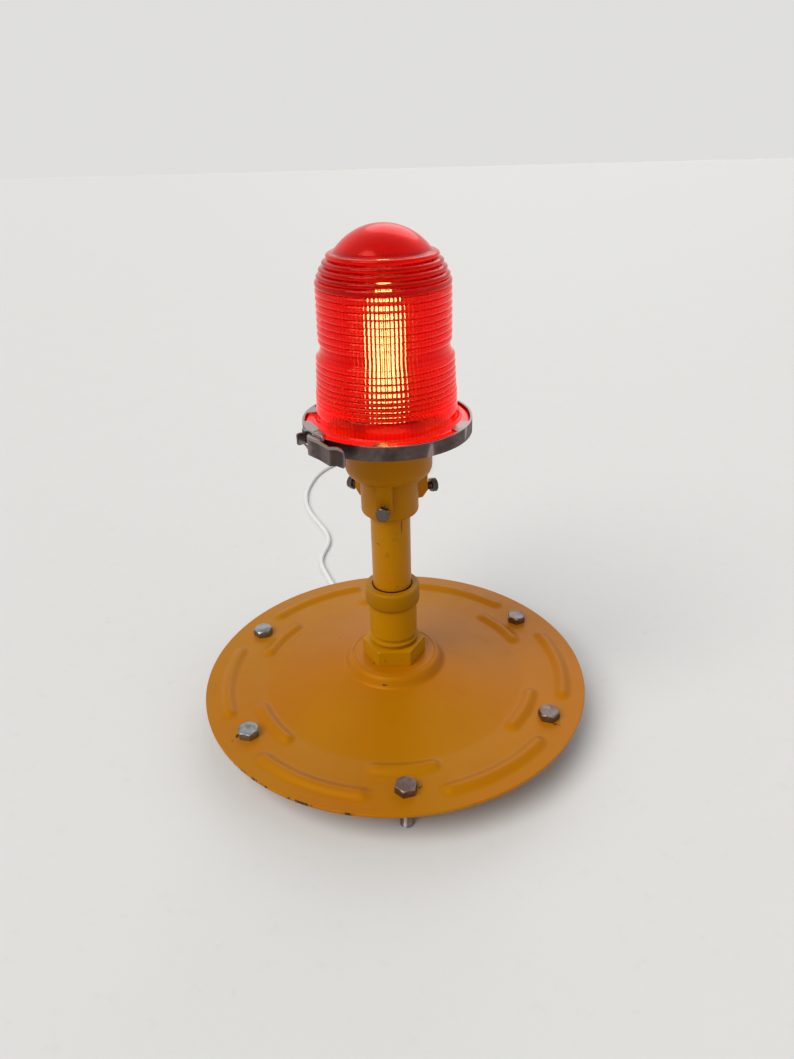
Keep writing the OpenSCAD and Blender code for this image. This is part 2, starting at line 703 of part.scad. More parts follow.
// Levelling screw with a hexagonal head, pointing at the column
module levelling_screw(length, turn) {
    color(dark_steel) translate([0, 0, seat_z]) at_turn(turn) translate([0, -screw_tip, 0]) rotate([90, 0, 0]) {
        cylinder(d1 = screw_d - 1.6, d2 = screw_d, h = 0.8);
        translate([0, 0, 0.8 - eps]) cylinder(d = screw_d, h = length - 0.8 + 2 * eps);
        translate([0, 0, length]) rotate([0, 0, 12]) hex_head(screw_af, screw_head_h);
    }
}

module levelling_screw_front() levelling_screw(screw_len, boss_turn);
module levelling_screw_right() levelling_screw(right_screw_len, boss_turn + 120);
module levelling_screw_left() levelling_screw(screw_len, boss_turn - 120);

// Porcelain lamp holder, screwed to the bowl's floor by its foot
module lamp_holder() {
    foot_h = 6;
    slot = 2.6;
    color([0.93, 0.92, 0.88]) translate([0, 0, bowl_floor_z]) difference() {
        union() {
            intersection() {
                cylinder(d = holder_foot_d, h = foot_h);
                translate([-holder_d / 2, -holder_foot_d, -1]) cube([holder_d, 2 * holder_foot_d, foot_h + 2]);
            }
            rotate_extrude() polygon([
                [0, 1], [holder_d / 2 - 0.5, 1], [holder_d / 2 - 0.5, holder_h - 1.5],
                [holder_d / 2 - 2, holder_h], [0, holder_h]]);
        }
        translate([0, 0, foot_h]) cylinder(d = holder_bore, h = holder_h);
        for (s = [-1, 1]) {
            translate([s * lead_out, 0, -1]) cylinder(d = 3.4, h = foot_h + 2, $fn = 32);
            translate([0, s * small_screw_r, -1]) cylinder(d = small_screw_d + 2 * fit_gap, h = foot_h + 2, $fn = 32);
        }
        translate([-holder_d, earth_y - slot / 2, -1]) cube([holder_d - 1.4, slot, 4.2]);
    }
}

// Brass screw shell inside the lamp holder
module holder_shell() {
    color(brass) translate([0, 0, bowl_floor_z + 8]) difference() {
        cylinder(d = holder_bore - 2 * fit_gap, h = holder_h - 10);
        translate([0, 0, -1]) cylinder(d = bulb_cap_d + 2 * move_gap, h = holder_h);
    }
}

module holder_contact() {
    color(brass) translate([0, 0, bowl_floor_z + 6]) cylinder(d = 9, h = 2, $fn = 48);
}

module holder_screws() {
    color(steel) for (s = [-1, 1]) translate([0, s * small_screw_r, bowl_floor_z]) {
        translate([0, 0, -small_screw_in]) cylinder(d = small_screw_d, h = small_screw_in + 6 + eps, $fn = 32);
        translate([0, 0, 6]) cylinder(d1 = 7, d2 = 6, h = 1.6, $fn = 32);
    }
}

// Route of a lead from the top of the cord to a terminal beside the holder's contact
function lead_points(side) = concat(
    [for (i = [0:10]) let (t = i / 10)
        [side * (1.3 + (lead_out - 1.3) * (1 - cos(180 * t)) / 2), 0, seat_z + 0.5 + t * (bowl_floor_z + 1 - seat_z)]],
    [[side * lead_out, 0, bowl_floor_z + 6.8]]);

module live_lead() color([0.10, 0.10, 0.10]) tube_along(lead_points(1), lead_r, 8, [0, 1, 0]);
module neutral_lead() color([0.92, 0.92, 0.90]) tube_along(lead_points(-1), lead_r, 8, [0, 1, 0]);

// Earth screw in the bowl's floor, with the earth lead under its head
module earth_screw() {
    color(brass) translate([small_screws[2][0], small_screws[2][1], bowl_floor_z]) {
        translate([0, 0, -small_screw_in]) cylinder(d = small_screw_d, h = small_screw_in + 2.6 + eps, $fn = 32);
        translate([0, 0, 2.6]) cylinder(d1 = 6.4, d2 = 5.4, h = 1.6, $fn = 32);
    }
}

module earth_lead() {
    bend = 4 * 2 * lead_r;
    z = bowl_floor_z + lead_r + 0.2;
    color([0.15, 0.45, 0.18]) tube_along(concat(
        [[0, earth_y, seat_z + 0.5]],
        [for (i = [0:6]) let (a = 15 * i) [bend * (cos(a) - 1), earth_y, z - bend + bend * sin(a)]],
        [[small_screws[2][0] + small_screw_d / 2 + 0.1, earth_y, z]]), lead_r, 8, [0, 1, 0]);
}

module globe_gasket() {
    out = rim_d / 2 - 0.8;
    color([0.20, 0.19, 0.18]) translate([0, 0, rim_top]) difference() {
        cylinder(r = out, h = gasket_t);
        translate([0, 0, -1]) cylinder(r = out - gasket_w, h = gasket_t + 2);
    }
}

// Radius over the globe's rings at a height
function ring_r(z) = lookup(z, [
    [0, globe_low_d / 2], [24, globe_low_d / 2 - 0.2], [29, globe_low_d / 2 - 0.9], [mid_top - 12, globe_low_d / 2 - 1.2],
    [mid_top, (globe_low_d / 2 + globe_waist_d) / 3 + 1], [mid_top + 3, globe_waist_d / 2],
    [top_start - 1, globe_waist_d / 2], [top_start + 4, globe_top_d / 2 + 0.3], [top_end, globe_top_d / 2]]);

// Red glass globe: flange, horizontal prism rings, plain waist, stepped shoulder, dome
module globe() {
    last = len(grooves) - 1;
    dome_z = globe_h - dome_h;
    dome_r = (pow(dome_d / 2, 2) + pow(dome_h, 2)) / (2 * dome_h);
    dome_from = asin((dome_r - dome_h) / dome_r);
    inner_r = dome_r - globe_wall;
    foot_r = globe_low_d / 2 - globe_wall;
    shoulder = [for (i = [1:4]) globe_top_d / 2 - 0.25 * i * (i + 4)];
    rings = [for (i = [0:last - 1]) let (z0 = grooves[i], z1 = grooves[i + 1], belt = z1 - z0 > belt_h - 0.1)
        each [[ring_r(z0) - ring_depth, z0], [ring_r(z0) - (belt ? 0.4 : 0), z0 + (z1 - z0) * 0.3],
            [ring_r(z1) - (belt ? 0.4 : 0), z0 + (z1 - z0) * 0.75]]];
    steps = [for (i = [0:3]) let (z = top_end + i * step_h)
        each [[shoulder[i] - 1.2, z], [shoulder[i], z + step_h * 0.35], [shoulder[i] - 0.6, z + step_h * 0.8]]];
    outside = concat(
        [[flange_d / 2, 0], [flange_d / 2, flange_t - 0.8], [flange_d / 2 - 0.8, flange_t]],
        arc(globe_low_d / 2 + flange_fillet, flange_t + flange_fillet, flange_fillet, -90, -180, 5),
        rings, [[ring_r(top_end) - ring_depth, top_end]], steps,
        [[dome_d / 2 + 1.5, dome_z - 0.3]],
        arc(0, globe_h - dome_r, dome_r, dome_from, 90, 10));
    inside = concat(
        arc(0, globe_h - dome_r, inner_r, 90, dome_from + 4, 8),
        [[shoulder[2] - globe_wall, top_end + step_h], [globe_top_d / 2 - globe_wall - 0.5, top_end - 4],
            [globe_waist_d / 2 - globe_wall, top_start], [globe_waist_d / 2 - globe_wall, mid_top],
            [foot_r - 0.6, low_top], [foot_r, flange_t + 4], [foot_r, 0]]);
    color([0.85, 0.03, 0.02, 0.6]) translate([0, 0, flange_z]) rotate_extrude() polygon(concat(outside, inside));
}

// One lip of the clamp band, bent in over the globe's flange, with a straight inner edge
module lip(turn, width) {
    half = width / 2;
    translate([0, 0, band_top - lip_t]) intersection() {
        difference() {
            cylinder(r = band_r + 0.4, h = lip_t);
            translate([0, 0, -1]) cylinder(r = lip_r - 12, h = lip_t + 2);
        }
        at_turn(turn) linear_extrude(height = lip_t)
            polygon([[-half, -band_out - 1], [half, -band_out - 1], [half - 4, -lip_r], [4 - half, -lip_r]]);
    }
}

// Steel band round the rim and the globe's flange
module clamp_band() {
    color(dark_steel) difference() {
        union() {
            difference() {
                translate([0, 0, band_bottom]) cylinder(r = band_out, h = band_h);
                translate([0, 0, band_bottom - 1]) cylinder(r = band_r, h = band_h + 2);
            }
            for (l = [[63.5, 24], [-66, 38], [-107, 16], [130, 22], [170, 20], [-148, 22], [-5, 13]]) lip(l[0], l[1]);
        }
        at_turn(latch_turn - catch_arc + 5.6) translate([-0.5, -band_out - 1, band_bottom - 1])
            cube([1, 14, band_h + 2]);
    }
}

// Draws a piece in the latch's own plane: X along the band from the pivot, Y outwards
module at_pivot(turn = latch_turn) {
    at_turn(turn) translate([0, -pivot_r, band_mid]) rotate([0, 0, 180]) mirror([1, 0, 0]) children();
}

// Bracket on the band, with two cheeks that hold the lever's pin
module latch_bracket() {
    cheek = 2.1;
    cheek_out = ear_out - lever_t - 0.3;
    color(steel) difference() {
        union() {
            for (z = [-cheek_out, cheek_out - 1]) at_pivot() translate([0, 0, z]) linear_extrude(height = 1) {
                circle(r = cheek, $fn = 48);
                translate([-1.5, -pivot_out]) square([3, pivot_out]);
            }
            ring_sector(band_out, band_out + 1, band_mid - cheek_out, 2 * cheek_out, latch_turn - 3.4, 7.4);
        }
        at_pivot() translate([0, 0, -20]) cylinder(d = pivot_d + 2 * fit_gap, h = 40, $fn = 48);
        translate([0, 0, band_bottom - 2]) cylinder(r = band_out, h = band_h + 4);
    }
}

// Rivets that hold the bracket and the catch on the band
module latch_rivets() {
    color(steel) for (t = [latch_turn - 2.4, latch_turn + 2.9, catch_turn + 3.2]) for (z = [-2.2, 2.2])
        at_turn(t) translate([0, -band_out - 1, band_mid + z]) rotate([90, 0, 0])
            cylinder(d1 = 1.8, d2 = 1.2, h = 0.4, $fn = 32);
}

module latch_pin() {
    color(steel) at_pivot() translate([0, 0, -ear_out - 0.1]) cylinder(d = pivot_d, h = 2 * ear_out + 0.2, $fn = 48);
}

// Catch on the other end of the band, turned outwards, behind which the link hooks
module latch_catch() {
    round_r = 1.5;
    color(steel) difference() {
        translate([0, 0, band_mid]) {
            at_turn(catch_turn) translate([0, -band_out + 0.3, 0]) rotate([0, 0, catch_lean]) difference() {
                translate([-0.75, -catch_reach - 0.3, -catch_h / 2]) cube([1.5, catch_reach + 0.3, catch_h]);
                for (s = [-1, 1]) translate([-1, -catch_reach - 0.3, s * catch_h / 2]) rotate([0, 90, 0])
                    difference() {
                        translate([-round_r, -round_r, 0]) cube([2 * round_r, 2 * round_r, 2]);
                        translate([s * round_r, round_r, -1]) cylinder(r = round_r, h = 4, $fn = 32);
                    }
            }
            ring_sector(band_out, band_out + 1, 0.5 - catch_h / 2, catch_h - 1, catch_turn, 4.8);
        }
        translate([0, 0, band_bottom - 2]) cylinder(r = band_out, h = band_h + 4);
    }
}

// Side view of one of the lever's ears, with the holes for the pin and the link
module lever_ear() {
    reach = [for (t = [latch_turn, link_turn + 1.4]) 2 * lever_r * [sin(t), -cos(t)]];
    difference() {
        union() {
            at_turn(latch_turn) translate([0, -pivot_r]) circle(r = 2.7);
            at_turn(link_turn) translate([0, -link_r]) circle(r = 1.7);
            intersection() {
                difference() {
                    circle(r = lever_r + 0.6);
                    circle(r = link_r);
                }
                polygon([[0, 0], reach[0], reach[1]]);
            }
        }
        at_turn(latch_turn) translate([0, -pivot_r]) circle(d = pivot_d + 2 * fit_gap);
        at_turn(link_turn) translate([0, -link_r]) circle(d = link_wire + 2 * fit_gap);
    }
}

// Lever: plate that bends away from the band, with a crease across it and a rounded end, and two ears on the pivot
module latch_lever() {
    rise = 0.7 * lever_flare;
    dip = rise - lever_crease;
    plan = [[0, 0], [0.16, 0.05], [0.32, 0.3], [0.5, 0.45 * rise], [0.68, rise], [0.76, dip + 0.2], [0.8, dip],
        [0.88, (rise + dip) / 2], [0.94, rise + 0.3], [1, lever_flare]];
    inner = [for (p = plan) let (t = latch_turn + lever_arc * p[0]) (lever_r + p[1]) * [sin(t), -cos(t)]];
    outer = [for (i = [len(plan) - 1:-1:0]) inner[i] + lever_t * inner[i] / norm(inner[i])];
    half = lever_h / 2;
    round = 0.3 * lever_h;
    color(steel) {
        intersection() {
            translate([0, 0, band_mid - half]) linear_extrude(height = lever_h) polygon(concat(inner, outer));
            at_turn(latch_turn + lever_arc) translate([0, -lever_r / 2, band_mid]) rotate([90, 0, 0])
                linear_extrude(height = lever_r) polygon(concat([[-lever_r, -half - 2], [-round, -half - 0.01]],
                    arc(-round, round - half, round, -80, 0, 5), arc(-round, half - round, round, 0, 80, 5),
                    [[-round, half + 0.01], [-lever_r, half + 2]]));
        }
        for (z = [-ear_out, ear_out - lever_t]) translate([0, 0, band_mid + z]) linear_extrude(height = lever_t) lever_ear();
    }
}

// Route with its corners rounded, from a given distance on each side of them
function rounded(p, cut, n = 3) = concat([p[0]],
    [for (i = [1:len(p) - 2]) let (a = p[i] + cut * unit(p[i - 1] - p[i]), b = p[i] + cut * unit(p[i + 1] - p[i]))
        for (k = [0:n]) let (t = k / n) (1 - t) * (1 - t) * a + 2 * t * (1 - t) * p[i] + t * t * b],
    [p[len(p) - 1]]);

// Link bent from one wire: its ends turn in to the lever's ears, its legs run over and under the
// lever and draw in towards the catch, and its bar lies behind the catch
module latch_link() {
    leg_z = lever_h / 2 + 0.3 + link_wire / 2;
    bar_z = catch_h / 2 + 0.3 + link_wire / 2;
    leg = [[link_turn, ear_out - lever_t - 0.1], [link_turn, leg_z], [latch_turn + 2, leg_z],
        [latch_turn - 5.5, leg_z], [catch_turn + 1.4, bar_z], [catch_turn - 2.6, bar_z]];
    last = len(leg) - 1;
    route = [for (i = [0:2 * last + 1]) let (p = i > last ? [leg[2 * last + 1 - i][0], -leg[2 * last + 1 - i][1]] : leg[i])
        round_from_front(p[0]) * link_r + [0, 0, band_mid + p[1]]];
    color(steel) tube_along(rounded(route, 1), link_wire / 2, 14, round_from_front(latch_turn));
}

// Screw cap of the bulb
module bulb_cap() {
    color(brass) translate([0, 0, bulb_cap_top - bulb_cap_h]) difference() {
        cylinder(d = bulb_cap_d, h = bulb_cap_h);
        translate([0, 0, 1]) cylinder(d = bulb_cap_d - 1.2, h = bulb_cap_h);
    }
}

module bulb_insulator() {
    color([0.08, 0.08, 0.09]) translate([0, 0, bulb_tip + 1.2])
        cylinder(d1 = 9, d2 = bulb_cap_d - 2, h = 2.5);
}

module bulb_contact() {
    color(steel) translate([0, 0, bulb_tip]) cylinder(d1 = 6, d2 = 8.4, h = 1.2, $fn = 48);
}

// Tubular glass of the bulb
module bulb_glass() {
    r = bulb_d / 2;
    neck = bulb_cap_d / 2 - 0.7;
    outside = concat([[neck, -3], [neck, 1], [r - 1, 9], [r, 14]], arc(0, bulb_len - r, r, 0, 90, 10));
    inside = concat(arc(0, bulb_len - r, r - bulb_wall, 90, 0, 10),
        [[r - bulb_wall, 14], [r - 1 - bulb_wall, 9], [neck - bulb_wall, 1], [neck - bulb_wall, -3]]);
    color([0.95, 0.92, 0.80, 0.35]) translate([0, 0, bulb_cap_top]) rotate_extrude() polygon(concat(outside, inside));
}

// Glass stem with its flared foot
module bulb_stem() {
    r = bulb_cap_d / 2 - 0.7 - bulb_wall;
    color([0.9, 0.9, 0.88, 0.5]) translate([0, 0, bulb_cap_top]) rotate_extrude() polygon([
        [0, -3], [r, -3], [r, -1.5], [5, 3], [2.6, 10], [2.2, 22], [0, 23]]);
}

// Filaments in a ring, on a wire from the top of the stem
module bulb_filaments() {
    ring = 5;
    start = 18;
    color([1, 0.9, 0.6]) translate([0, 0, bulb_cap_top]) {
        for (i = [0:filament_count - 1]) rotate([0, 0, i * 360 / filament_count])
            translate([ring, 0, start]) cylinder(r = 0.9, h = filament_len, $fn = 24);
        for (z = [start - 0.6, start + filament_len - 0.6]) translate([0, 0, z]) difference() {
            cylinder(r = ring + 1, h = 0.8);
            translate([0, 0, -1]) cylinder(r = ring - 1, h = 3);
        }
        translate([0, 0, 23]) cylinder(r = 0.5, h = start + filament_len - 23, $fn = 24);
        translate([-ring, -0.4, start + filament_len - 0.6]) cube([2 * ring, 0.8, 0.8]);
    }
}

module cord_run() color([0.88, 0.88, 0.86]) tube_along(run_points, cord_r, 8);
module cord_tail() color([0.88, 0.88, 0.86]) tube_along(tail_points, cord_r, 8);

// Coil: the turns spiral in and out again in layers, and climb a layer in the half turn
// in which the spiral reverses. Each end runs straight for one diameter of the cord.
layer_turns = coil_turns / coil_layers;
function coil_radius(t) = let (in_layer = t / layer_turns, odd = floor(in_layer) % 2, part = in_layer - floor(in_layer))
    coil_out - coil_pitch * layer_turns * (odd == 0 ? part : 1 - part);
function climbed(t) = let (k = round(t / layer_turns), d = t - k * layer_turns)
    (k < 1 || k >= coil_layers || abs(d) > 0.25) ? floor(t / layer_turns + 0.001) : k - 0.5 + 2 * d;
function coil_point(t) = let (a = 90 - 360 * t, r = coil_radius(min(t, coil_turns - 0.0001)))
    [coil_x + r * cos(a), coil_y + r * sin(a), coil_z + coil_pitch * min(climbed(t), coil_layers - 1)];
coil_steps = 24;
coil_points = concat(
    [[coil_x - cord_d, coil_y + coil_out, coil_z]],
    [for (i = [0:coil_turns * coil_steps]) coil_point(i / coil_steps)],
    [[coil_x - coil_out, coil_y + cord_d, coil_end_z]]);
// Least gap between turns, measured on the points of each two turns that pass each other
coil_gap = min([for (i = [0:len(coil_points) - 1]) for (j = [i + coil_steps / 2:1:len(coil_points) - 1])
    norm(coil_points[i] - coil_points[j])]) - cord_d;
echo(str("least gap between turns of the coil: ", coil_gap));
echo(str("length of cord: ", length_of(run_points) + length_of(coil_points) + length_of(tail_points)));

module cord_coil() color([0.88, 0.88, 0.86]) tube_along(coil_points, cord_r, 6);

// Strap round the coil's turns
module coil_tie() {
    coil_in = coil_out - coil_pitch * layer_turns;
    gap = 0.3;
    x0 = sqrt(pow(coil_in - cord_r, 2) - pow(tie_w / 2, 2)) - gap;
    x1 = coil_out + cord_r + gap;
    z1 = coil_end_z + cord_r + gap;
    color([0.80, 0.80, 0.78]) translate([coil_x, coil_y, 0]) rotate([0, 0, -115]) difference() {
        translate([x0 - tie_t, -tie_w / 2, 0]) cube([x1 - x0 + 2 * tie_t, tie_w, z1 + tie_t]);
        translate([x0, -tie_w, tie_t]) cube([x1 - x0, 2 * tie_w, z1 - tie_t]);
    }
}

// Flat plug with two blades, lying beside the coil
module plug_body() {
    half = plug_w / 2;
    color([0.86, 0.86, 0.84]) translate([plug_x, plug_y, 0]) linear_extrude(height = plug_h)
        polygon(concat([[0, -cord_d], [8, -cord_d - 1.2]], arc(plug_len - 2, -half + 2, 2, -90, 0),
            arc(plug_len - 2, half - 2, 2, 0, 90), [[8, cord_d + 1.2], [0, cord_d]]));
}

module plug_blades() {
    color(brass) for (s = [-1, 1]) translate([plug_x + plug_len, plug_y + s * 6.35 - 0.75, plug_h / 2 - 3.2])
        cube([16, 1.5, 6.4]);
}

base_plate();
base_bolts();
base_nuts();
hub_cap();
cord_gland();
gland_nut();
strain_relief();
coupling_body();
coupling_ring();
coupling_nut();
column();
inner_cord();
levelling_ring();
head_casting();
levelling_screw_front();
levelling_screw_right();
levelling_screw_left();
lamp_holder();
holder_shell();
holder_contact();
holder_screws();
live_lead();
neutral_lead();
earth_screw();
earth_lead();
globe_gasket();
globe();
clamp_band();
latch_bracket();
latch_rivets();
latch_pin();
latch_catch();
latch_lever();
latch_link();
bulb_cap();
bulb_insulator();
bulb_contact();
bulb_glass();
bulb_stem();
bulb_filaments();
cord_run();
cord_coil();
coil_tie();
cord_tail();
plug_body();
plug_blades();
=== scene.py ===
"""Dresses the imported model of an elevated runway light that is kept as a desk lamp."""

import json
import math
from contextlib import contextmanager

import bmesh
import bpy
import numpy as np
from bpy.props import FloatProperty, FloatVectorProperty, IntProperty, PointerProperty
from mathutils import Matrix, Vector

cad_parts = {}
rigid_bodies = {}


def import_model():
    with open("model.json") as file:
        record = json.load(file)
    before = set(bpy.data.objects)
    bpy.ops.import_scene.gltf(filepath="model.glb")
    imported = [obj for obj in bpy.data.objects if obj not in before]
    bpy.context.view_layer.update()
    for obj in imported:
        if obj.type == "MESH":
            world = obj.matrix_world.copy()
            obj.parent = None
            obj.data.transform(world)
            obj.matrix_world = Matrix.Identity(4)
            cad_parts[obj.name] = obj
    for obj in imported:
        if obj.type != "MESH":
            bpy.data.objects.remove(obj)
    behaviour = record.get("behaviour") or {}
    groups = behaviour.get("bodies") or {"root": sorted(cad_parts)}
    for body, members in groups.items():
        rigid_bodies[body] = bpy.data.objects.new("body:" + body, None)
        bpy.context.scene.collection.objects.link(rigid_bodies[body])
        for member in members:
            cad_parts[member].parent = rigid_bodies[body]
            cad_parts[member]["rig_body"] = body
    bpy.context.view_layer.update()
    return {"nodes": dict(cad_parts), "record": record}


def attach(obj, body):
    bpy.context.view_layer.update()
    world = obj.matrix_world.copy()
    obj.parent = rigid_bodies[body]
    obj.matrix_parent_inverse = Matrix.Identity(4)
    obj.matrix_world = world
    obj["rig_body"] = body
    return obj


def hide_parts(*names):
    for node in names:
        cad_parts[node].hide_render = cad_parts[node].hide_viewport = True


bl_info = {
    "name": "Runway Light Desk Lamp",
    "version": (1, 0, 0),
    "blender": (4, 5, 0),
    "location": "3D View > Sidebar > Lamp",
    "description": "Builds the pieces and finishes of a runway light on its cover plate",
    "category": "Object",
}

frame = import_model()

MM = 0.001
SLOT_OF = {row["node"]: row["material_slot"] for row in frame["record"]["subparts"]}

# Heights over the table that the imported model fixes, in millimetres
PLATE_TOP = 31.75
COLLAR_TOP = 117.75
SEAT_Z = 193.75
FLANGE_Z = 248.55
BULB_CAP_TOP = 249.75
LIP_TOP = 253.45

# Other sizes that it fixes, in millimetres
PLATE_R = 152.4
PLATE_T = 2.5
PLATE_EDGE_R = 0.5
BOLT_RING_R = 130.175
BOLT_HOLE_R = 5.95
COLUMN_D = 29.54
SCREW_LENGTH = 17.5


# Nodes

def put(tree, socket, value):
    """Links a socket to another, or gives it a value."""
    if isinstance(value, bpy.types.NodeSocket):
        tree.links.new(value, socket)
    else:
        socket.default_value = value


def fill(tree, made, **inputs):
    """Fills inputs of a node. They go by name, with _ for a space."""
    for name, value in inputs.items():
        put(tree, made.inputs[name.replace("_", " ")], value)
    return made


def node(tree, kind, settings=None, **inputs):
    """Adds a node with its settings and its inputs."""
    made = tree.nodes.new(kind)
    for name, value in (settings or {}).items():
        setattr(made, name, value)
    return fill(tree, made, **inputs)


def first(tree, kind, settings=None, **inputs):
    """Adds a node and returns its first output."""
    return node(tree, kind, settings, **inputs).outputs[0]


def maths(tree, operation, *values, clamp=False):
    made = node(tree, "ShaderNodeMath", {"operation": operation, "use_clamp": clamp})
    for socket, value in zip(made.inputs, values):
        put(tree, socket, value)
    return made.outputs[0]


def times(tree, a, b):
    return maths(tree, "MULTIPLY", a, b)


def minus(tree, a, b):
    return maths(tree, "SUBTRACT", a, b)


def times_plus(tree, a, b, c):
    """One value times a second, plus a third."""
    return maths(tree, "MULTIPLY_ADD", a, b, c)


def varied(tree, noise, amount, middle):
    """A value that swings round its middle as noise does."""
    return times_plus(tree, minus(tree, noise, 0.5), amount, middle)


def hypotenuse(tree, x, y):
    return maths(tree, "SQRT", maths(tree, "ADD", times(tree, x, x), times(tree, y, y)))


def vectors(tree, operation, *values, out=0):
    made = node(tree, "ShaderNodeVectorMath", {"operation": operation})
    for socket, value in zip(made.inputs, values):
        put(tree, socket, value)
    return made.outputs[out]


def scaled(tree, vector, scale):
    """A vector or a colour times a value."""
    made = node(tree, "ShaderNodeVectorMath", {"operation": "SCALE"}, Scale=scale)
    put(tree, made.inputs[0], vector)
    return made.outputs[0]


def axes(tree, vector):
    """The X, Y and Z of a vector."""
    return node(tree, "ShaderNodeSeparateXYZ", Vector=vector).outputs


def object_place(tree):
    return node(tree, "ShaderNodeTexCoord").outputs["Object"]


def pointiness(tree):
    return node(tree, "ShaderNodeNewGeometry").outputs["Pointiness"]


def ranged(tree, value, low, high, to_low=0.0, to_high=1.0):
    """Maps a value smoothly from one range to another, held at its ends."""
    return first(tree, "ShaderNodeMapRange", {"interpolation_type": "SMOOTHSTEP"}, Value=value,
                 From_Min=low, From_Max=high, To_Min=to_low, To_Max=to_high)


def blended(tree, factor, a, b):
    """Mixes two colours."""
    made = node(tree, "ShaderNodeMix", {"data_type": "RGBA"})
    for index, value in ((0, factor), (6, a), (7, b)):
        put(tree, made.inputs[index], value)
    return made.outputs[2]


def clouds(tree, scale, detail=3.0, roughness=0.5, stretch=None):
    """Noise on Object coordinates, stretched by a vector if one is given."""
    place = object_place(tree)
    if stretch is not None:
        place = vectors(tree, "MULTIPLY", place, stretch)
    return first(tree, "ShaderNodeTexNoise", Vector=place, Scale=scale, Detail=detail, Roughness=roughness)


def new_group(name, kind, inputs, outputs):
    """Starts a node group with its sockets, and returns the tree, its inputs and its output node."""
    tree = bpy.data.node_groups.new(name, kind)
    for way, sockets in (("INPUT", inputs), ("OUTPUT", outputs)):
        for title, value_kind, *default in sockets:
            socket = tree.interface.new_socket(title, in_out=way, socket_type="NodeSocket" + value_kind)
            if default:
                socket.default_value = default[0]
    return tree, tree.nodes.new("NodeGroupInput").outputs, tree.nodes.new("NodeGroupOutput")


def shared(title):
    """Gives the node group that a function builds its title, and builds it only once."""
    def kept(build):
        def once():
            return bpy.data.node_groups.get(title) or build(title)
        return once
    return kept


def placed_group(tree, group, **inputs):
    """Puts a shared shader group in a material."""
    return node(tree, "ShaderNodeGroup", {"node_tree": group()}, **inputs).outputs


# Shader groups

SURFACE = [("Color", "Color"), ("Roughness", "Float"), ("Height", "Float")]
MASK = [("Mask", "Float")]


@shared("Paint Surface")
def paint_surface(title):
    """A coat with soft patches, grime, orange peel and a painted warm light: the hue shifts in patches from
    yellower at the left to the plain colour at the right, where red light falls.
    """
    tree, given, out = new_group(title, "ShaderNodeTree", [
        ("Color", "Color", (0.5, 0.2, 0.01, 1)), ("Shade", "Float", 0.16), ("Roughness", "Float", 0.4),
        ("Peel", "Float", 1.0), ("Yellowing", "Float", 0.0)], SURFACE)
    grime = clouds(tree, 70.0, 6.0, 0.65)
    level = varied(tree, clouds(tree, 14.0, 4.0, 0.55), given["Shade"], 1.0)
    darker = times_plus(tree, ranged(tree, grime, 0.55, 0.8), -0.05, level)
    yellower = vectors(tree, "MULTIPLY", given["Color"], (0.97, 1.12, 1.0))
    # Painted warm light from the right: the coat turns yellower to the left and keeps its own colour to the
    # right, broken up by noise.
    side_light_drift = times_plus(tree, axes(tree, object_place(tree))["X"], -1.3, clouds(tree, 6.0, 2.0))
    side_light_share = times(tree, ranged(tree, side_light_drift, 0.42, 0.66), given["Yellowing"])
    peel = times(tree, clouds(tree, 620.0, 2.0), given["Peel"])
    fill(tree, out, Color=scaled(tree, blended(tree, side_light_share, given["Color"], yellower), darker),
         Roughness=varied(tree, grime, 0.22, given["Roughness"]),
         Height=times_plus(tree, clouds(tree, 45.0, 2.0, 0.4), 2.5, peel))
    return tree


@shared("Edge Wear")
def edge_wear(title):
    """A mask of edges where a finish is rubbed or torn off."""
    tree, given, out = new_group(title, "ShaderNodeTree", [
        ("Start", "Float", 0.53), ("Spread", "Float", 0.06), ("Grain", "Float", 120.0),
        ("Tear", "Float", 0.22)], MASK)
    torn = varied(tree, clouds(tree, given["Grain"], 5.0, 0.7), given["Tear"], pointiness(tree))
    end = maths(tree, "ADD", given["Start"], given["Spread"])
    fill(tree, out, Mask=ranged(tree, torn, given["Start"], end))
    return tree


@shared("Paint Chip")
def chip(title):
    """A mask of one ragged spot."""
    tree, given, out = new_group(title, "ShaderNodeTree", [
        ("Centre", "Vector", (0, 0, 0)), ("Squeeze", "Vector", (1, 1, 1)), ("Radius", "Float", 0.001)],
        MASK)
    place = object_place(tree)
    ragged = node(tree, "ShaderNodeTexNoise", Vector=place, Scale=900.0, Detail=3.0).outputs["Color"]
    shove = scaled(tree, vectors(tree, "SUBTRACT", ragged, (0.5, 0.5, 0.5)), 0.0016)
    away = vectors(tree, "SUBTRACT", vectors(tree, "ADD", place, shove), given["Centre"])
    distance = vectors(tree, "LENGTH", vectors(tree, "MULTIPLY", away, given["Squeeze"]), out=1)
    fill(tree, out, Mask=ranged(tree, minus(tree, given["Radius"], distance), -0.0001, 0.0002))
    return tree


@shared("Metal Grain")
def metal_grain(title):
    """Metal with drawn lines and stains."""
    tree, given, out = new_group(title, "ShaderNodeTree", [
        ("Color", "Color", (0.5, 0.5, 0.5, 1)), ("Dirt", "Color", (0.1, 0.08, 0.06, 1)),
        ("Amount", "Float", 0.3), ("Roughness", "Float", 0.35), ("Stretch", "Vector", (1, 1, 1)),
        ("Scale", "Float", 300.0)], SURFACE)
    lines = clouds(tree, given["Scale"], 4.0, 0.6, stretch=given["Stretch"])
    stain = times(tree, ranged(tree, clouds(tree, 55.0, 5.0, 0.65), 0.42, 0.72), given["Amount"])
    rough = varied(tree, lines, 0.3, given["Roughness"])
    fill(tree, out, Color=blended(tree, stain, given["Color"], given["Dirt"]),
         Roughness=maths(tree, "MULTIPLY_ADD", stain, 0.25, rough, clamp=True), Height=lines)
    return tree


# Finishes

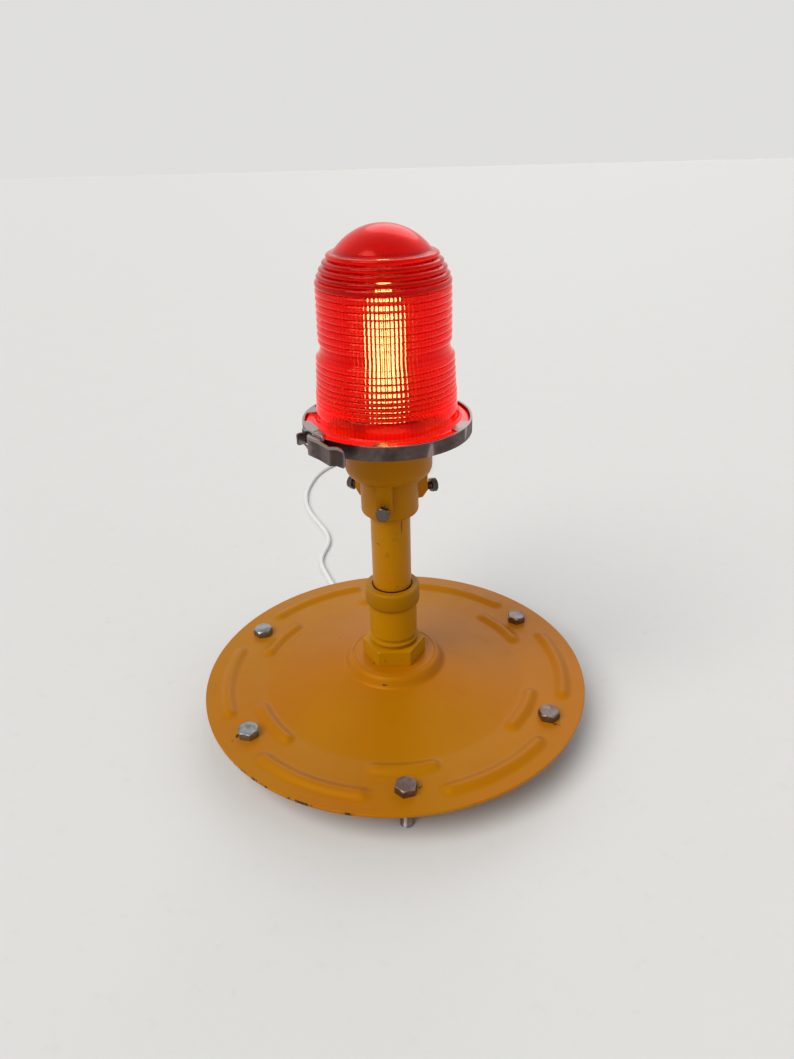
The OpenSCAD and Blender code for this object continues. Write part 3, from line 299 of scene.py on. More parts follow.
def fresh(name):
    """A new material with one Principled shader, and its tree and shader."""
    material = bpy.data.materials.new("finish_" + name)
    material.use_nodes = True
    tree = material.node_tree
    tree.nodes.clear()
    shader = tree.nodes.new("ShaderNodeBsdfPrincipled")
    node(tree, "ShaderNodeOutputMaterial", Surface=shader.outputs[0])
    return material, tree, shader


def opened(material):
    """A built material's tree, its shader, and what feeds the shader's colour."""
    tree = material.node_tree
    shader = next(n for n in tree.nodes if n.type == "BSDF_PRINCIPLED")
    return tree, shader, shader.inputs["Base Color"].links[0].from_socket


def bumped(tree, shader, height, distance, strength=0.5):
    bump = first(tree, "ShaderNodeBump", Strength=strength, Distance=distance, Height=height)
    fill(tree, shader, Normal=bump)


def chips(tree, spots):
    """Masks of several paint chips as one. A spot is a centre and a radius in millimetres, and a squeeze."""
    mask = 0.0
    for centre, radius, squeeze in spots:
        place = [MM * v for v in centre]
        spot = placed_group(tree, chip, Centre=place, Radius=radius * MM, Squeeze=squeeze)
        mask = maths(tree, "MAXIMUM", mask, spot["Mask"])
    return mask


def rim_nicks(tree):
    """A mask of nicks along the plate's outer edge, most of them at its front left."""
    at = axes(tree, object_place(tree))
    torn = clouds(tree, 75.0, 4.0, 0.75, stretch=(1, 1, 0.3))
    front = ranged(tree, at["Y"], -0.07, -0.13, 0.0, 0.18)
    left = ranged(tree, at["X"], 0.03, -0.03)
    nicked = ranged(tree, times_plus(tree, front, left, torn), 0.69, 0.72)
    return times(tree, ranged(tree, hypotenuse(tree, at["X"], at["Y"]), 0.1519, 0.1523), nicked)


def painted(name, colour, roughness, shade=0.16, peel=1.0, bump=0.00008, wear=0.545, spots=(), nicks=None,
            bare=(0.045, 0.026, 0.018, 1)):
    """Enamel over metal, with soft patches, fine orange peel, worn edges, chips and a painted warm light
    from the right.
    """
    material, tree, shader = fresh(name)
    surface = placed_group(tree, paint_surface, Color=(*colour, 1), Roughness=roughness, Shade=shade,
                           Peel=peel, Yellowing=1.0)
    worn = placed_group(tree, edge_wear, Start=wear)["Mask"]
    lost = times(tree, worn, ranged(tree, clouds(tree, 38.0, 3.0, 0.6), 0.52, 0.66))
    if spots:
        lost = maths(tree, "MAXIMUM", lost, chips(tree, spots))
    if nicks:
        lost = maths(tree, "MAXIMUM", lost, nicks(tree))
    fill(tree, shader, Base_Color=blended(tree, lost, surface["Color"], bare),
         Roughness=times_plus(tree, lost, 0.3, surface["Roughness"]),
         Specular_IOR_Level=0.4, Specular_Tint=(1.0, 0.55, 0.1, 1))
    bumped(tree, shader, times_plus(tree, lost, -3.0, surface["Height"]), bump)
    return material


def plate_paint(colours):
    flat = (1, 1, 0.5)
    spots = [((-8.1, -37.4, 48.0), 1.0, (0.5, 1.3, 1)), ((-6.0, -37.8, 48.0), 0.6, (0.5, 1.3, 1)),
             ((-46.3, 36.9, 41.0), 0.6, flat), ((-121.3, -76.1, 31.7), 0.7, flat),
             ((14.3, -128.6, 31.7), 0.8, (1.4, 0.7, 0.5)), ((15.8, -127.2, 31.7), 0.6, (1.6, 0.5, 0.5)),
             ((10.0, -133.5, 31.8), 0.6, (0.5, 1.4, 0.5)), ((-118.4, -70.9, 31.8), 1.1, (0.9, 0.5, 0.5)),
             ((-32.5, 4.0, 53.6), 0.5, flat), ((-36.3, 2.0, 51.0), 0.5, flat),
             ((118.5, -69.0, 31.7), 1.1, (0.7, 1.1, 0.5)), ((121.5, -70.5, 31.7), 0.6, flat),
             ((52.0, 96.0, 33.0), 0.5, flat), ((96.0, 20.0, 32.6), 0.4, flat)]
    return painted("plate_paint", colours.plate_colour, 0.40, peel=0.7, bump=0.00006, spots=spots,
                   nicks=rim_nicks)


def column_paint(colours):
    """The column's coat, with faint streaks down it and a painted shadow in a thin dark ring where it enters
    its collar.
    """
    spots = [((8.0, -12.4, 173.0), 1.1, (2.2, 0.6, 0.16)), ((-9.7, -11.1, 158.0), 0.6, (0.3, 0.6, 1.0)),
             ((-8.4, -12.2, 157.3), 0.5, (0.35, 0.6, 1.2)), ((4.0, -14.2, 122.5), 0.5, (0.5, 0.5, 1))]
    material = painted("column_paint", colours.column_colour, 0.36, shade=0.12, peel=0.5, bump=0.00006,
                       spots=spots, bare=(0.16, 0.075, 0.012, 1))
    tree, shader, plain = opened(material)
    streaks = ranged(tree, clouds(tree, 260.0, 3.0, 0.6, stretch=(1, 1, 0.03)), 0.56, 0.75)
    streaked = blended(tree, times(tree, streaks, 0.15), plain, (0.20, 0.085, 0.004, 1))
    # Painted shadow: a thin near-black ring just above the collar's top, where the column enters the collar.
    height = axes(tree, object_place(tree))["Z"]
    collar_gap_shade = ranged(tree, height, (COLLAR_TOP + 0.8) * MM, (COLLAR_TOP + 0.3) * MM)
    fill(tree, shader, Base_Color=blended(tree, collar_gap_shade, streaked, (0.035, 0.014, 0.004, 1)))
    return material


def head_paint(colours):
    return painted("head_paint", colours.head_colour, 0.46, shade=0.12, peel=1.2, bump=0.0001, wear=0.56)


def cast_coat(name, colour, spots=()):
    """The rough coat of the coupling and of its nut, with rust where it is lost."""
    return painted(name, colour, 0.5, shade=0.2, peel=1.6, bump=0.00012, wear=0.6, spots=spots,
                   bare=(0.10, 0.05, 0.012, 1))


def coupling_paint(colours):
    spots = [((-7.3, -21.5, 59.4), 0.45, (1.6, 0.5, 0.3)), ((5.6, -21.5, 60.0), 0.3, (1.6, 0.5, 0.3))]
    return cast_coat("coupling_paint", colours.coupling_colour, spots)


# The nut's coat: the coupling's colour, darkened.
def collar_paint(colours):
    return cast_coat("collar_paint", [0.76 * v for v in colours.coupling_colour])


def metal(name, colour, dirt, amount, roughness, stretch=(1, 1, 1), scale=300.0, bump=0.00003,
          metallic=1.0):
    """Bare or plated metal with a grain and stains."""
    material, tree, shader = fresh(name)
    grain = placed_group(tree, metal_grain, Color=(*colour, 1), Dirt=(*dirt, 1), Amount=amount,
                         Roughness=roughness, Stretch=stretch, Scale=scale)
    fill(tree, shader, Base_Color=grain["Color"], Roughness=grain["Roughness"], Metallic=metallic)
    bumped(tree, shader, grain["Height"], bump)
    return material


def zinc_steel(colours):
    """Zinc plate gone dull, browner in patches on the front and the right bolts."""
    material = metal("zinc_steel", (0.26, 0.285, 0.30), (0.09, 0.068, 0.053), 0.9, 0.36, scale=760.0,
                     bump=0.00016)
    tree, shader, plain = opened(material)
    # A brown tint in patches, set by side: full on the front and the right bolts, none on the left.
    side = ranged(tree, axes(tree, object_place(tree))["X"], -0.09, 0.0)
    stains = ranged(tree, clouds(tree, 240.0, 4.0, 0.6), 0.3, 0.6, 0.35, 0.8)
    browner_on_right = times(tree, side, stains)
    fill(tree, shader, Base_Color=blended(tree, browner_on_right, plain, (0.165, 0.094, 0.068, 1)))
    return material


def band_steel(colours):
    """Dark drawn steel, brighter and smoother on the lips that lie on the globe's flange, and brighter along
    its edges and creases: rubbed steel with a painted highlight.
    """
    material = metal("band_steel", (0.082, 0.056, 0.052), (0.036, 0.021, 0.018), 0.7, 0.40,
                     stretch=(1, 1, 9), scale=90.0)
    tree, shader, plain = opened(material)
    rough = shader.inputs["Roughness"].links[0].from_socket
    height = axes(tree, object_place(tree))["Z"]
    lip = ranged(tree, height, (LIP_TOP - 0.6) * MM, (LIP_TOP - 0.2) * MM)
    # Painted highlight along the edges and creases, together with rubbed steel.
    edges = placed_group(tree, edge_wear, Start=0.53, Spread=0.05, Grain=60.0, Tear=0.05)["Mask"]
    rubbed = maths(tree, "MAXIMUM", lip, edges)
    fill(tree, shader, Base_Color=blended(tree, rubbed, plain, (0.30, 0.24, 0.23, 1)),
         Roughness=times_plus(tree, rubbed, -0.16, rough))
    return material


def plastic(name, colour, roughness, grain=900.0, bump=0.00002, shade=0.05):
    """Moulded plastic or rubber, or glazed porcelain, with faint mottling."""
    material, tree, shader = fresh(name)
    surface = placed_group(tree, paint_surface, Color=(*colour, 1), Roughness=roughness, Shade=shade,
                           Peel=1.0)
    fill(tree, shader, Base_Color=surface["Color"], Roughness=surface["Roughness"])
    bumped(tree, shader, times_plus(tree, surface["Height"], 0.2, clouds(tree, grain, 2.0)), bump)
    return material


def red_glass(colours):
    """Red pressed glass with a painted glow that stands in for the bulb's light scattered in it, less in its
    dome, between its rings and beside its flutes.
    """
    material, tree, shader = fresh("red_glass")
    at = axes(tree, object_place(tree))
    edge = pointiness(tree)
    up = minus(tree, at["Z"], FLANGE_Z * MM)
    crown = times(tree, ranged(tree, up, 0.090, 0.096), ranged(tree, up, 0.115, 0.109))
    edged = ranged(tree, edge, 0.50, 0.56, 0.95, 0.10)
    ends = times(tree, ranged(tree, up, 0.108, 0.116, 1.0, 0.75), ranged(tree, up, 0.003, 0.012, 2.8, 1.0))
    body = times(tree, ends, ranged(tree, crown, 0.0, 1.0, 1.0, edged))
    ridged = ranged(tree, edge, 0.47, 0.51, 0.0, 1.1)
    turn = maths(tree, "ARCTAN2", at["Y"], at["X"])
    flutes = times(tree, turn, bpy.context.scene.lamp_sizes.flute_count)
    stripe = times_plus(tree, maths(tree, "COSINE", flutes), 0.25, 0.9)
    wall = times_plus(tree, crown, -0.0042, 0.0436)
    inside = maths(tree, "LESS_THAN", hypotenuse(tree, at["X"], at["Y"]), wall)
    inside = times(tree, inside, maths(tree, "LESS_THAN", up, 0.1))
    striped = times_plus(tree, inside, minus(tree, stripe, 1.0), 1.0)
    cloudy = varied(tree, clouds(tree, 60.0), 0.25, 1.0)
    # Painted glow: this emission stands in for the bulb's light scattered in the glass, weaker in the
    # grooves and stronger along the inner flutes.
    lit = times(tree, times(tree, body, ridged), times(tree, striped, cloudy))
    deeper = [0.7 * v for v in colours.glass_colour]
    fill(tree, shader, Base_Color=blended(tree, crown, (*colours.glass_colour, 1), (*deeper, 1)),
         Roughness=ranged(tree, up, 0.109, 0.117, 0.03, 0.16), IOR=1.48, Transmission_Weight=1.0,
         Specular_Tint=(1.0, 0.12, 0.10, 1), Emission_Strength=colours.painted_glow_strength,
         Emission_Color=scaled(tree, colours.painted_glow_colour, lit))
    bumped(tree, shader, clouds(tree, 150.0, 2.0), 0.00012, 0.4)
    return material


def clear_glass(colours):
    """Thin clear glass that shows by its shine and by a painted grey sheen that grows towards its edges, and
    bends nothing behind it.
    """
    material, tree, shader = fresh("clear_glass")
    painted_edge_sheen = node(tree, "ShaderNodeLayerWeight", Blend=0.5).outputs["Facing"]
    # Painted sheen: the grey shell grows more opaque where the glass turns away from the eye.
    fill(tree, shader, Base_Color=(0.45, 0.44, 0.41, 1), Roughness=0.04,
         Alpha=ranged(tree, painted_edge_sheen, 0.35, 1.0, 0.08, 0.6))
    return material


def filament(colours):
    """Coated rods that glow. Through the globe they show as glare, pale in spite of the red glass."""
    material, tree, shader = fresh("filament")
    spots = ranged(tree, clouds(tree, 900.0, 2.0), 0.35, 0.65)
    warm = blended(tree, spots, (1.0, 0.62, 0.34, 1), (1.0, 0.74, 0.46, 1))
    pale = blended(tree, spots, (2.2, 2.0, 0.48, 1), (2.5, 2.65, 1.0, 1))
    glare = vectors(tree, "DIVIDE", pale, colours.glass_colour)
    path = node(tree, "ShaderNodeLightPath").outputs
    globed = maths(tree, "GREATER_THAN", path["Transmission Depth"], 1.5)
    scattered = maths(tree, "GREATER_THAN", path["Diffuse Depth"], 0.5)
    seen = blended(tree, globed, scaled(tree, warm, colours.filament_glow), glare)
    lit = blended(tree, scattered, seen, scaled(tree, warm, colours.filament_spread))
    fill(tree, shader, Base_Color=(0.9, 0.7, 0.3, 1), Roughness=0.5, Emission_Color=lit,
         Emission_Strength=1.0)
    return material


# Colour, dirt, amount of dirt and roughness of simple metals, with any other settings
METALS = {
    "dark_steel": ((0.13, 0.105, 0.09), (0.03, 0.02, 0.015), 0.8, 0.32, {"scale": 500.0, "bump": 0.00006}),
    "link_steel": ((0.34, 0.33, 0.32), (0.10, 0.08, 0.06), 0.6, 0.34, {}),
    "black_iron": ((0.020, 0.019, 0.018), (0.045, 0.022, 0.012), 0.5, 0.55,
                   {"scale": 700.0, "bump": 0.0002, "metallic": 0.4}),
    "brass": ((0.62, 0.42, 0.15), (0.22, 0.13, 0.05), 0.5, 0.3, {}),
}

# Colour and roughness of plastics, rubbers and porcelain, with any other settings
PLASTICS = {
    "porcelain": ((0.80, 0.78, 0.72), 0.22, {}),
    "black_plastic": ((0.018, 0.018, 0.020), 0.5, {"bump": 0.00006}),
    "white_plastic": ((0.70, 0.70, 0.68), 0.38, {}),
    "white_cord": ((0.74, 0.74, 0.72), 0.42, {"grain": 1500.0, "shade": 0.08}),
    "green_lead": ((0.02, 0.13, 0.035), 0.45, {}),
    "white_rubber": ((0.66, 0.66, 0.64), 0.6, {"bump": 0.00006}),
    "dark_rubber": ((0.022, 0.022, 0.022), 0.7, {"bump": 0.00008}),
}

FINISHES = {build.__name__: build for build in (
    plate_paint, column_paint, head_paint, coupling_paint, collar_paint, zinc_steel, band_steel, red_glass,
    clear_glass, filament)}


def finish(name):
    """The material of that name, built once."""
    kept = bpy.data.materials.get("finish_" + name)
    if kept:
        return kept
    for build, simple in ((metal, METALS), (plastic, PLASTICS)):
        if name in simple:
            *values, others = simple[name]
            return build(name, *values, **others)
    return FINISHES[name](bpy.context.scene.lamp_finishes)


# Geometry Nodes

def ended(tree, out, geometry, material):
    """Ends a tree in Realize Instances and Set Material."""
    real = first(tree, "GeometryNodeRealizeInstances", Geometry=geometry)
    put(tree, out.inputs[0], first(tree, "GeometryNodeSetMaterial", Geometry=real, Material=material))
    return tree


@shared("Turned Form")
def turned_form(title):
    """Turns a profile, drawn with X as radius, into a closed form, fluted and threaded where it asks."""
    tree, given, out = new_group(title, "GeometryNodeTree", [
        ("Profile", "Geometry"), ("Segments", "Int", 96), ("Flutes", "Int", 0),
        ("Flute Depth", "Float", 0.0), ("Thread Pitch", "Float", 0.0015), ("Thread Depth", "Float", 0.0),
        ("Material", "Material")], [("Form", "Geometry")])
    size = node(tree, "GeometryNodeAttributeDomainSize", {"component": "MESH"}, Geometry=given["Profile"])
    points = size.outputs["Point Count"]
    columns = maths(tree, "ADD", given["Segments"], 1)
    grid = first(tree, "GeometryNodeMeshGrid", Vertices_X=columns, Vertices_Y=points)
    index = first(tree, "GeometryNodeInputIndex")
    column = maths(tree, "FLOOR", maths(tree, "DIVIDE", maths(tree, "ADD", index, 0.5), points))
    row = minus(tree, index, times(tree, column, points))
    turn = maths(tree, "DIVIDE", column, given["Segments"])

    def sampled(kind, value):
        return first(tree, "GeometryNodeSampleIndex", {"data_type": kind, "domain": "POINT"},
                     Geometry=given["Profile"], Value=value, Index=row)

    def weight(name):
        named = first(tree, "GeometryNodeInputNamedAttribute", {"data_type": "FLOAT"}, Name=name)
        return sampled("FLOAT", named)

    drawn = axes(tree, sampled("FLOAT_VECTOR", first(tree, "GeometryNodeInputPosition")))
    angle = times(tree, turn, 2 * math.pi)
    wave = maths(tree, "COSINE", times(tree, angle, given["Flutes"]))
    flute = times(tree, wave, given["Flute Depth"])
    climb = minus(tree, maths(tree, "DIVIDE", drawn["Z"], given["Thread Pitch"]), turn)
    off_middle = maths(tree, "ABSOLUTE", minus(tree, maths(tree, "FRACT", climb), 0.5))
    thread = times(tree, minus(tree, off_middle, 0.5), times(tree, given["Thread Depth"], 2.0))
    cut = times_plus(tree, thread, weight("threaded"), drawn["X"])
    radius = times_plus(tree, flute, weight("fluted"), cut)
    place = first(tree, "ShaderNodeCombineXYZ", X=times(tree, radius, maths(tree, "COSINE", angle)),
                  Y=times(tree, radius, maths(tree, "SINE", angle)), Z=drawn["Z"])
    rolled = first(tree, "GeometryNodeSetPosition", Geometry=grid, Position=place)
    closed = first(tree, "GeometryNodeMergeByDistance", Geometry=rolled, Distance=2e-6)
    return ended(tree, out, closed, given["Material"])


@shared("Pressed Beads")
def pressed_beads(title):
    """Raises soft beads in a ring out of a plate."""
    tree, given, out = new_group(title, "GeometryNodeTree", [
        ("Plate", "Geometry"), ("Count", "Int", 6), ("Turn", "Float", 0.0), ("Ring Radius", "Float", 0.11),
        ("Arc", "Float", 0.4), ("Half Width", "Float", 0.006), ("Height", "Float", 0.0025),
        ("Material", "Material")], [("Plate", "Geometry")])
    at = axes(tree, first(tree, "GeometryNodeInputPosition"))
    radius = hypotenuse(tree, at["X"], at["Y"])
    turn = maths(tree, "ARCTAN2", at["X"], times(tree, at["Y"], -1.0))
    half_step = maths(tree, "DIVIDE", math.pi, given["Count"])
    past_turn = minus(tree, turn, given["Turn"])
    local = maths(tree, "WRAP", past_turn, half_step, times(tree, half_step, -1.0))
    past_end = minus(tree, maths(tree, "ABSOLUTE", local), times(tree, given["Arc"], 0.5))
    along = times(tree, maths(tree, "MAXIMUM", past_end, 0.0), radius)
    away = hypotenuse(tree, along, minus(tree, radius, given["Ring Radius"]))
    rise = times(tree, ranged(tree, away, 0.0, given["Half Width"], 1.0, 0.0), given["Height"])
    offset = first(tree, "ShaderNodeCombineXYZ", Z=rise)
    raised = first(tree, "GeometryNodeSetPosition", Geometry=given["Plate"], Offset=offset)
    return ended(tree, out, raised, given["Material"])


@shared("Bolt Circle")
def bolt_circle(title):
    """Sets copies of one bolt round a circle, each turned its own way."""
    tree, given, out = new_group(title, "GeometryNodeTree", [
        ("Bolt", "Geometry"), ("Count", "Int", 6), ("Ring Radius", "Float", 0.13), ("Turn", "Float", 0.0),
        ("Seed", "Int", 0), ("Spin", "Float", 1.05), ("Material", "Material")], [("Bolts", "Geometry")])
    step = maths(tree, "DIVIDE", 2 * math.pi, given["Count"])
    turned_by = times(tree, first(tree, "GeometryNodeInputIndex"), step)
    turn = maths(tree, "ADD", given["Turn"], turned_by)
    to_front = times(tree, given["Ring Radius"], -1.0)
    place = first(tree, "ShaderNodeCombineXYZ",
                  X=times(tree, maths(tree, "SINE", turn), given["Ring Radius"]),
                  Y=times(tree, maths(tree, "COSINE", turn), to_front))
    spots = first(tree, "GeometryNodePoints", Count=given["Count"], Position=place)
    spin = node(tree, "FunctionNodeRandomValue", {"data_type": "FLOAT"}, Seed=given["Seed"])
    put(tree, spin.inputs[2], 0.0)
    put(tree, spin.inputs[3], given["Spin"])
    rotation = first(tree, "ShaderNodeCombineXYZ", Z=maths(tree, "ADD", spin.outputs[1], turn))
    copies = first(tree, "GeometryNodeInstanceOnPoints", Points=spots, Instance=given["Bolt"],
                   Rotation=rotation)
    return ended(tree, out, copies, given["Material"])


# Meshes

def mesh_of(name, points, faces=(), edges=()):
    mesh = bpy.data.meshes.new(name)
    mesh.from_pydata([tuple(p) for p in points], edges, faces)
    mesh.update()
    return mesh


def object_of(name, data):
    piece = bpy.data.objects.new(name, data)
    bpy.context.scene.collection.objects.link(piece)
    return piece


@contextmanager
def written(mesh):
    """Opens an empty form for edits and writes it to a mesh."""
    form = bmesh.new()
    yield form
    form.to_mesh(mesh)
    form.free()


@contextmanager
def edited(mesh):
    """Opens a mesh for edits and writes them back."""
    with written(mesh) as form:
        form.from_mesh(mesh)
        yield form


def settled(piece):
    """Applies a piece's modifiers to its mesh."""
    graph = bpy.context.evaluated_depsgraph_get()
    result = bpy.data.meshes.new_from_object(piece.evaluated_get(graph))
    piece.modifiers.clear()
    before, piece.data = piece.data, result
    bpy.data.meshes.remove(before)
    return piece


def worked(piece, tree, **inputs):
    """Runs a Geometry Nodes tree on a piece's mesh. Its inputs go by name, with _ for a space."""
    modifier = piece.modifiers.new(tree.name, "NODES")
    modifier.node_group = tree
    for socket in tree.interface.items_tree:
        key = socket.name.replace(" ", "_")
        if socket.in_out == "INPUT" and key in inputs:
            modifier[socket.identifier] = inputs[key]
    mesh = settled(piece).data
    mesh.materials.clear()
    mesh.materials.append(inputs["Material"])
    mesh.polygons.foreach_set("material_index", [0] * len(mesh.polygons))
    return piece


def smooth_but(mesh, sharp):
    """Makes a mesh smooth but for edges sharper than an angle in degrees."""
    mesh.shade_smooth()
    mesh.set_sharp_from_angle(angle=math.radians(sharp))


def face_out(mesh, sharp=40):
    """Turns a closed mesh's faces outwards, and makes it smooth but for its sharp edges."""
    with edited(mesh) as form:
        if form.calc_volume(signed=True) < 0:
            bmesh.ops.reverse_faces(form, faces=form.faces[:])
    smooth_but(mesh, sharp)


def turned(name, profile, material, segments=96, sharp=40, fluted=None, threaded=None, **inputs):
    """A piece turned from a profile of (radius, height) in millimetres."""
    edges = [(i, i + 1) for i in range(len(profile) - 1)]
    mesh = mesh_of(name, [(r * MM, 0, z * MM) for r, z in profile], edges=edges)
    for key, weights in (("fluted", fluted), ("threaded", threaded)):
        if weights:
            mesh.attributes.new(key, "FLOAT", "POINT").data.foreach_set("value", weights)
    piece = worked(object_of(name, mesh), turned_form(), Segments=segments, Material=material, **inputs)
    face_out(piece.data, sharp)
    return piece


def arc(cx, cy, radius, start, end, steps):
    """Points on an arc, its angles in degrees."""
    turns = [math.radians(start + (end - start) * i / steps) for i in range(steps + 1)]
    return [(cx + radius * math.cos(a), cy + radius * math.sin(a)) for a in turns]


def smoothed(points, steps):
    """A smooth line that passes through every point."""
    p = [np.array(v, float) for v in points]
    p = [2 * p[0] - p[1], *p, 2 * p[-1] - p[-2]]
    line = []
    for a, b, c, d in zip(p, p[1:], p[2:], p[3:]):
        bend = 2 * a - 5 * b + 4 * c - d
        twist = 3 * b - a - 3 * c + d
        for i in range(steps):
            t = i / steps
            line.append(0.5 * (2 * b + (c - a) * t + bend * t * t + twist * t ** 3))
    return [tuple(v) for v in (*line, p[-2])]


def ring_faces(rows, around):
    """The faces between rings of points."""
    faces = []
    for low in range(0, (rows - 1) * around, around):
        high = low + around
        for i in range(around):
            k = (i + 1) % around
            faces.append((low + i, low + k, high + k, high + i))
    return faces


def joined(name, *pieces):
    """Joins pieces into one object."""
    mesh = bpy.data.meshes.new(name)
    with written(mesh) as form:
        for piece in pieces:
            form.from_mesh(piece.data)
    mesh.materials.append(pieces[0].data.materials[0])
    for piece in pieces:
        bpy.data.objects.remove(piece)
    return object_of(name, mesh)


def hex_head(name, flats, height, material, top_round=0.35):
    """A hexagonal head with a turned chamfer, a shallow washer face and a hollow top, in millimetres."""
    sides = 72
    half = flats / 2
    chamfer_r = half * 0.94
    turns = [2 * math.pi * i / sides for i in range(sides)]
    walls = [half / math.cos((turn + math.pi / 6) % (math.pi / 3) - math.pi / 6) for turn in turns]
    rows = [[(0.0, 0.0)] * sides, [(wall * 0.985, 0.0) for wall in walls], [(wall, 0.5) for wall in walls],
            [(wall, height - 0.5 - (wall - half) * 0.62) for wall in walls]]
    for radius, sunk in ((chamfer_r + 0.35, 0.22), (chamfer_r, 0.02), (chamfer_r - top_round, 0.0),
                         (chamfer_r * 0.5, 0.06), (0.0, 0.1)):
        rows.append([(radius, height - sunk)] * sides)
    points = []
    for row in rows:
        points += [(r * math.cos(a) * MM, r * math.sin(a) * MM, z * MM) for (r, z), a in zip(row, turns)]
    mesh = mesh_of(name, points, ring_faces(len(rows), sides))
    mesh.materials.append(material)
    with edited(mesh) as form:
        bmesh.ops.remove_doubles(form, verts=form.verts[:], dist=1e-6)
    face_out(mesh, 28)
    return object_of(name, mesh)


def threaded_rod(name, radius, high, pitch, material, plain_top, tip=0.9):
    """A threaded rod along Z, in millimetres, with a plain neck at its top and a chamfered tip."""
    span = high - plain_top - tip
    steps = max(2, round(span / pitch * 6))
    side = [(radius, tip + span * i / steps) for i in range(steps + 1)]
    profile = [(0, 0), (radius - tip, 0), *side, (radius, high), (0, high)]
    grown = [min(1.0, i / 3, (steps - i) / 3) for i in range(steps + 1)]
    return turned(name, profile, material, segments=36, sharp=50, threaded=[0.0, 0.0, *grown, 0.0, 0.0],
                  Thread_Pitch=pitch * MM, Thread_Depth=0.55 * pitch * MM)


def softened(node_name, name, width, segments=2):
    """A copy of a CAD node with merged points, flat faces and softly rounded edges, in its place."""
    angle = 32
    mesh = frame["nodes"][node_name].data.copy()
    with edited(mesh) as form:
        bmesh.ops.remove_doubles(form, verts=form.verts[:], dist=2e-6)
        bmesh.ops.dissolve_limit(form, angle_limit=math.radians(0.6), verts=form.verts[:],
                                 edges=form.edges[:])
    mesh.materials.clear()
    mesh.materials.append(finish_of(node_name))
    if "custom_normal" in mesh.attributes:
        mesh.attributes.remove(mesh.attributes["custom_normal"])
    smooth_but(mesh, angle)
    piece = object_of(name, mesh)
    rim = piece.modifiers.new("Soft edges", "BEVEL")
    rim.width = width * MM
    rim.segments = segments
    rim.limit_method = "ANGLE"
    rim.angle_limit = math.radians(angle)
    rim.harden_normals = True
    return stands_for(settled(piece), node_name)


# Frame

def finish_of(node_name):
    """The finish of a CAD node: its slot's, or one of its own where its slot is shared."""
    own = {"column": "column_paint", "coupling_nut": "collar_paint", "latch_link": "link_steel"}
    return finish(own.get(node_name, SLOT_OF[node_name]))


def dressed(*nodes):
    """Gives CAD nodes their finishes."""
    for name in nodes:
        for slot in frame["nodes"][name].material_slots:
            slot.material = finish_of(name)


def stands_for(piece, *nodes):
    """The piece replaces CAD nodes and rides on their body."""
    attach(piece, frame["nodes"][nodes[0]]["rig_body"])
    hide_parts(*nodes)
    return piece


def moved(piece, matrix):
    """Puts a matrix into a piece's mesh."""
    piece.data.transform(matrix)
    return piece


# Cord

CORD_D = 4.8
STRAP_T, STRAP_GAP = 0.8, 0.3
PLUG_X, PLUG_Y = 5, 522
COIL_X, COIL_Y, COIL_D, COIL_PITCH = 8, 478, 56, 5.25
COIL_TURNS, COIL_LAYERS = 6.75, 4
COIL_OUT = COIL_D / 2 + COIL_PITCH * COIL_TURNS / COIL_LAYERS / 2
COIL_Z = STRAP_T + STRAP_GAP + CORD_D / 2
COIL_END_Z = COIL_Z + (COIL_LAYERS - 1) * COIL_PITCH
LAYER_TURNS = COIL_TURNS / COIL_LAYERS
GLAND_WAY = (math.cos(math.radians(108)), math.sin(math.radians(108)))
CORD_EXIT = (62.3 * GLAND_WAY[0], 62.3 * GLAND_WAY[1], 23.25)
RUN = [
    CORD_EXIT, (72.3 * GLAND_WAY[0], 72.3 * GLAND_WAY[1], 23.25),
    (-26, 81, 21.8), (-30, 93, 17.8), (-34, 105, 12), (-38.5, 118, 6.6), (-43, 132, 3.4),
    (-48, 147, 2.4), (-53, 162, 2.4), (-58, 176, 2.4), (-63, 190, 2.4), (-68, 204, 2.4), (-73, 219, 2.4),
    (-76.5, 233, 2.4), (-77, 246, 2.4), (-75, 258, 2.4), (-72.5, 270, 2.4), (-71.5, 282, 2.4),
    (-73, 295, 2.4), (-77, 309, 2.4), (-83, 323, 2.4), (-89, 337, 2.4), (-95, 351, 2.4), (-100, 366, 2.4),
    (-104, 382, 2.4), (-106, 399, 2.4), (-106.5, 416, 2.4), (-105, 433, 2.4), (-102, 450, 2.4),
    (-98, 466, 2.4), (-91.5, 482, 2.4), (-82, 497, 2.4), (-69.5, 509.5, 2.4), (-54.5, 517.5, 2.4),
    (-38, 519.8, 2.5), (-24, 517.6, 2.8), (-12, 513, 3.3),
    (COIL_X - 2.2 * CORD_D, COIL_Y + COIL_OUT, COIL_Z), (COIL_X - CORD_D, COIL_Y + COIL_OUT, COIL_Z)]
TAIL = [
    (COIL_X - COIL_OUT, COIL_Y + CORD_D, COIL_END_Z), (COIL_X - COIL_OUT, COIL_Y + 2.2 * CORD_D, COIL_END_Z),
    (-24.4, 497, 18.6), (-22.8, 506.5, 17), (-18.8, 514.2, 14.3), (-13, 519, 11.6), (-7.5, 521.3, 8.6),
    (0.2, 522, 6.5), (5, 522, 6.5)]


def coil_point(turn):
    """A point of the coil. Its turns spiral in and out again, and climb a layer where they reverse."""
    held = min(turn, COIL_TURNS - 0.0001) / LAYER_TURNS
    layer, part = int(held), held - int(held)
    radius = COIL_OUT - COIL_PITCH * LAYER_TURNS * (part if layer % 2 == 0 else 1 - part)
    nearest = math.floor(turn / LAYER_TURNS + 0.5)
    off = turn - nearest * LAYER_TURNS
    if nearest < 1 or nearest >= COIL_LAYERS or abs(off) > 0.25:
        climbed = math.floor(turn / LAYER_TURNS + 0.001)
    else:
        climbed = nearest - 0.5 + 2 * off
    a = math.radians(90 - 360 * turn)
    height = COIL_Z + COIL_PITCH * min(climbed, COIL_LAYERS - 1)
    return (COIL_X + radius * math.cos(a), COIL_Y + radius * math.sin(a), height)


